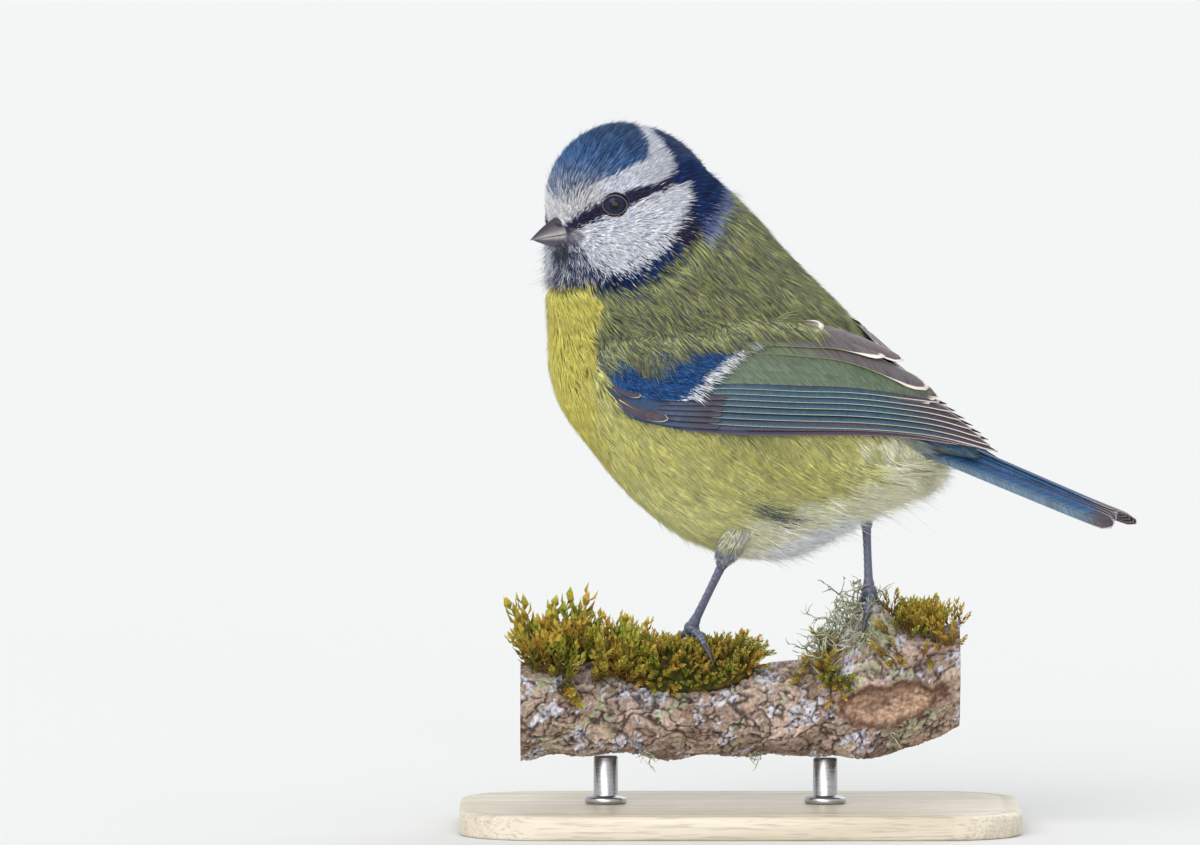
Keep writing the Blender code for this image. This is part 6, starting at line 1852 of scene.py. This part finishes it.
def makeMoss():
    mossPaint = mossMaterial()
    shoot = mossShoot()
    tree = scatterTree("spread shoots")
    # the cushion under the left foot
    rows, columns = mossStyle["cushionMesh"]
    xs = perchForm["mossAt"] + perchForm["mossHalf"] * np.sin(np.linspace(-0.47, 0.47, rows) * math.pi)
    rings, bedRows = [], []
    for x in xs:
        spread = 0.3 + 0.8 * math.sqrt(1 - ((x - perchForm["mossAt"]) / perchForm["mossHalf"]) ** 2)
        turns = np.linspace(-spread, spread, columns)
        bumps = 0.5 + 0.5 * np.sin(turns * 31 + x / mm * 1.1) * np.sin(turns * 17 - x / mm * 2.3)
        above = perchPoint(x, turns, 0.3 * mm + mossHeight(x, turns) * (0.62 + 0.2 * bumps))
        rings.append(np.vstack([above, perchPoint(x, turns[::-1], -0.4 * mm)]))
        bedRows.append(above)
    points, faces = tubeArrays(np.array(rings))
    tufted = ease(0.5 + ripple(points, 1.1 * mm, 44))[:, None]
    tint = mixed(*mossStyle["bed"], tufted)
    settle(pieceFromArrays("moss_cushion", points, faces, mossPaint, tint=tint), "moss", "perch_moss")
    bedPoints = np.array(bedRows).reshape(-1, 3)
    quads = gridFaces(rows, columns, flip=True)
    toes = np.vstack([(1 - k / 3) * toe[:-1] + k / 3 * toe[1:] for toe in toeLines("left") for k in range(3)])
    middle = bedPoints[quads].mean(axis=1)
    away = np.linalg.norm(middle[:, None] - toes[None], axis=2).min(axis=1)

    def shoots(name, points, faces, density, seed, lean, size):
        values = {"Shoot": shoot, "Density": density, "Least": size * mossStyle["least"],
                  "Most": size * mossStyle["most"], "Lean": lean, "Seed": seed, "Material": mossPaint}
        settle(scatter(name, pieceFromArrays("bed", points, faces, []), tree, values), "moss")

    dense, seed = mossStyle["perSquareMetre"], mossStyle["seed"]
    near, clear, lean = mossStyle["lowWithin"], mossStyle["clear"], mossStyle["lean"]
    shoots("moss_shoots", bedPoints, quads[away > near], dense, seed, lean, mossStyle["size"])
    low = quads[(away > clear) & (away <= near)]
    shoots("moss_low", bedPoints, low, dense * mossStyle["lowDenser"], seed, lean, mossStyle["lowSize"])
    # looser tufts along the top to the left, and down the front beside the right foot
    for name, (x0, x1, t0, t1, density, seed, lean, size) in mossBeds.items():
        count = mossStyle["bedMesh"]
        gx, gt = np.meshgrid(np.linspace(x0, x1, count) * mm, np.linspace(t0, t1, count), indexing="ij")
        edge = np.clip(1 - ((gx / mm - (x0 + x1) / 2) / ((x1 - x0) / 2)) ** 2, 0, 1)
        edge = edge * np.clip(1 - ((gt - (t0 + t1) / 2) / ((t1 - t0) / 2)) ** 2, 0, 1)
        place = perchPoint(gx, gt, -0.3 * mm + 0.9 * mm * np.sqrt(edge)).reshape(-1, 3)
        quads = gridFaces(count, count, flip=True)
        patchy = ripple(place, 4 * mm, seed)[quads].mean(axis=1)
        patchy = patchy + 0.9 * edge.reshape(-1)[quads].mean(axis=1) > 0.35
        shoots(name, place, quads[patchy], density, seed, lean, size)
    bpy.data.objects.remove(shoot)


# lichen: wiry branching threads beside the right foot, and short ones that hang below

lichenStyle = {"threads": 60, "radius": 0.19 * mm, "step": 0.55 * mm, "seed": 8, "along": (11.0, 22.5),
               "around": (-0.75, 0.3), "length": (3.5, 8.0), "lowLength": (2.0, 3.6),
               "low": ((-16.0, -2.6), (-14.5, -2.75), (2.5, -2.8), (1.5, -2.9), (24.5, -2.2), (-3.0, -0.9),
                       (-1.0, -1.0)),
               "tones": ((166, 168, 138), (186, 186, 164), (136, 140, 112))}


def makeLichen():
    rng = np.random.default_rng(lichenStyle["seed"])
    parts = []

    def grow(place, heading, length, radius, depth):
        steps = max(int(length / lichenStyle["step"]), 4)
        path, curl = [place], rng.normal(size=3) * 0.5
        for _ in range(steps):
            heading = unit(heading + 0.32 * rng.normal(size=3) + 0.25 * np.cross(heading, curl))
            place = place + heading * lichenStyle["step"]
            path.append(place)
            if depth and rng.uniform() < 0.3:
                grow(place, unit(heading + 0.9 * rng.normal(size=3)), length * 0.5, radius * 0.75, depth - 1)
        path = np.array(path)
        share = np.linspace(0, 1, len(path))
        rings = sweptRings(path, radius * (1 - 0.75 * share), np.array([0.3, 0.2, 1.0]), 5)
        points, faces = tubeArrays(rings)
        tone = paint(*lichenStyle["tones"][rng.integers(0, 3)])
        parts.append((points, faces, np.tile(tone, (len(points), 1)) * (0.8 + 0.4 * rng.uniform())))

    radius = lichenStyle["radius"]
    for _ in range(lichenStyle["threads"]):
        x = rng.uniform(*lichenStyle["along"]) * mm
        turn = rng.uniform(*lichenStyle["around"])
        out = unit(np.array([rng.uniform(-1.1, 0.1), rng.uniform(-0.7, 0.5), rng.uniform(0.5, 1.2)]))
        grow(perchPoint(x, turn, 0.0), out, rng.uniform(*lichenStyle["length"]) * mm, radius, 2)
    for x, turn in lichenStyle["low"]:
        for _ in range(3):
            out = unit(np.array([rng.uniform(-0.5, 0.5), rng.uniform(-0.6, 0.0), rng.uniform(-1.2, -0.4)]))
            length = rng.uniform(*lichenStyle["lowLength"]) * mm
            grow(perchPoint(x * mm, turn, 0.0), out, length, radius * 0.7, 1)
    points, faces, tint = joined(parts)
    made = grainyMaterial("lichen threads", 0.85, 1600.0, 3.0, [(0.3, 0.65), (0.7, 1.3)], 0.05 * mm, 0.7,
                          Specular_IOR_Level=0.2)
    settle(pieceFromArrays("lichen", points, faces, made, tint=tint), "moss")
    print("lichen ready:", len(faces), "triangles")


# stand: a wooden base and two metal rods

standForm = {"length": 92.0 * mm, "width": 56.0 * mm, "height": 4.0 * mm, "corner": 14.0 * mm,
             "edge": 1.0 * mm, "cornerSteps": 25, "bevelSteps": 9, "rodSides": 48,
             "rodX": {"left": -22.0 * mm, "right": 14.0 * mm},
             # a turned groove in the base's top: inset and depth
             "groove": ((2.2 * mm, 0.0), (2.6 * mm, 0.25 * mm), (3.0 * mm, 0.0), (6 * mm, 0.0),
                        (10 * mm, 0.0), (13.5 * mm, 0.0)),
             # the rod's foot: radius and height over the base, in mm
             "foot": ((0.02, 0.05), (3.2, 0.05), (3.4, 0.25), (3.4, 0.9), (3.1, 1.15), (2.1, 1.25),
                      (2.0, 1.5))}
standTones = {"wood": (paint(186, 172, 150), paint(208, 197, 177), paint(222, 213, 196)),
              "steel": ((0.34, 0.34, 0.35), (0.52, 0.52, 0.53))}


def makeStand():
    wood, tree, shader = newMaterial("oiled wood", roughness=0.42, Specular_IOR_Level=0.4, Coat_Weight=0.2,
                                     Coat_Roughness=0.3)
    place = tree.nodes.new("ShaderNodeTexCoord").outputs["Object"]
    grain = noise(tree, 1.0, 5.0, 0.6, stretched(tree, place, (14.0, 260.0, 260.0)))
    pores = noise(tree, 1.0, 2.0, 0.5, stretched(tree, place, (160.0, 2600.0, 2600.0)))
    colour = ramp(tree, grain, list(zip((0.3, 0.5, 0.7), standTones["wood"])))
    colour = shaded(tree, colour, pores, [(0.36, 0.78), (0.5, 1.03)])
    tree.links.new(colour, shader.inputs["Base Color"])
    addBump(tree, shader, pores, 0.03 * mm, 0.5)
    angles, corners = [], []
    for corner in range(4):
        centre = ((standForm["length"] / 2 - standForm["corner"]) * (1 if corner in (0, 3) else -1),
                  (standForm["width"] / 2 - standForm["corner"]) * (1 if corner < 2 else -1))
        for angle in math.pi / 2 * (corner + np.linspace(0, 1, standForm["cornerSteps"])):
            angles.append(angle)
            corners.append(centre)
    angles, corners = np.array(angles), np.array(corners)
    top, edge = standForm["height"], standForm["edge"]
    levels = [(0.5 * mm, 0.0), (0.15 * mm, 0.15 * mm), (0.0, 0.5 * mm)]
    bevel = np.linspace(0, math.pi / 2, standForm["bevelSteps"])
    levels += [(edge * (1 - math.cos(a)), top - edge * (1 - math.sin(a))) for a in bevel]
    levels += [(inset, top - deep) for inset, deep in standForm["groove"]]
    rings = []
    for inset, up in levels:
        reach = standForm["corner"] - inset
        x, y = corners[:, 0] + reach * np.cos(angles), corners[:, 1] + reach * np.sin(angles)
        rings.append(np.stack([x, y, 0 * angles + up], 1))
    points, faces = tubeArrays(np.array(rings))
    settle(pieceFromArrays("base_wood", points, faces, wood), "stand_wood", "stand_base")
    metal, tree, shader = newMaterial("brushed steel", roughness=0.3, Metallic=1.0)
    place = tree.nodes.new("ShaderNodeTexCoord").outputs["Object"]
    brush = noise(tree, 1.0, 3.0, 0.6, stretched(tree, place, (300.0, 300.0, 9000.0)))
    colour = ramp(tree, brush, list(zip((0.3, 0.7), standTones["steel"])))
    tree.links.new(colour, shader.inputs["Base Color"])
    tree.links.new(ramp(tree, brush, [(0.3, 0.24), (0.7, 0.42)]), shader.inputs["Roughness"])
    addBump(tree, shader, brush, 0.01 * mm, 0.4)
    for side, x in standForm["rodX"].items():
        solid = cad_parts["stand_rod_" + side]
        ceiling = max((solid.matrix_world @ Vector(corner)).z for corner in solid.bound_box)
        profile = [(r, top + up * mm) for r, up in standForm["foot"]]
        profile += [(2.0, ceiling - 0.2 * mm), (1.8, ceiling), (0.02, ceiling)]
        rings = np.array([[(x + r * mm * math.cos(a), r * mm * math.sin(a), z)
                           for a in turnsOf(standForm["rodSides"])] for r, z in profile])
        points, faces = tubeArrays(rings)
        rod = pieceFromArrays("rod_" + side, points, faces, metal)
        settle(rod, "stand_metal", "stand_rod_" + side)
    print("stand ready")


# camera, light and floor

view = {"look": (-22.95 * mm, 0.0, 66.6 * mm), "away": 2.5, "rise": math.radians(3), "frame": 196.7 * mm,
        "sensor": 36.0}
studio = {"floor": (0.711, 0.717, 0.711), "floorCloud": (0.718, 0.724, 0.718), "world": 0.85,
          "worldColour": (0.97, 0.985, 1.0, 1.0)}
# where each light comes from, its strength, its softness in degrees, its colour
studioSuns = {"key": ((-0.55, -0.85, 0.8), 1.1, 38, (1.0, 0.985, 0.96)),
              "front": ((-0.1, -1.0, 0.1), 1.9, 50, (0.97, 0.98, 1.0)),
              "rim": ((0.6, 0.9, 0.8), 0.7, 50, (0.95, 0.98, 1.0))}


def aim(piece, place, target):
    piece.location = place
    piece.rotation_euler = (Vector(target) - Vector(place)).to_track_quat("-Z", "Y").to_euler()


def makeStudio():
    scene = bpy.context.scene
    scene.view_settings.view_transform = "Standard"
    camera = placed("camera", bpy.data.cameras.new("camera"))
    camera.data.sensor_width = view["sensor"]
    camera.data.lens = view["sensor"] * view["away"] / view["frame"]
    camera.data.clip_start, camera.data.clip_end = 0.05, 60.0
    place = Vector(view["look"]) + Vector((0, -math.cos(view["rise"]), math.sin(view["rise"]))) * view["away"]
    aim(camera, place, view["look"])
    scene.camera = camera
    world = bpy.data.worlds.new("studio")
    scene.world = world
    world.use_nodes = True
    world.node_tree.nodes["Background"].inputs["Color"].default_value = studio["worldColour"]
    world.node_tree.nodes["Background"].inputs["Strength"].default_value = studio["world"]
    for name, (place, power, soft, colour) in studioSuns.items():
        light = placed(name, bpy.data.lights.new(name, "SUN"))
        light.data.energy = power
        light.data.angle = math.radians(soft)
        light.data.color = colour
        aim(light, place, (0, 0, 0))
    # a plain pale floor that fills the view
    floorPaint, tree, shader = newMaterial("pale floor", roughness=0.9, Specular_IOR_Level=0.1)
    cloud = ramp(tree, noise(tree, 1.2, 2.0), [(0.3, studio["floor"]), (0.7, studio["floorCloud"])])
    tree.links.new(cloud, shader.inputs["Base Color"])
    addBump(tree, shader, noise(tree, 900.0, 2.0), 0.02 * mm, 0.2)
    edge = np.linspace(-14, 14, 29)
    gx, gy = np.meshgrid(edge, edge, indexing="ij")
    points = np.stack([gx, gy, 0 * gx], axis=-1).reshape(-1, 3)
    floor = pieceFromArrays("floor", points, gridFaces(29, 29, flip=True), floorPaint)


makeStudio()
print("studio ready")
coatPaint = makeCoat()
vanePaint = makeWings(coatPaint)
makeTail(vanePaint, coatPaint)
makeFace()
makeLegs(coatPaint)
makeBark()
makeMoss()
makeLichen()
makeStand()
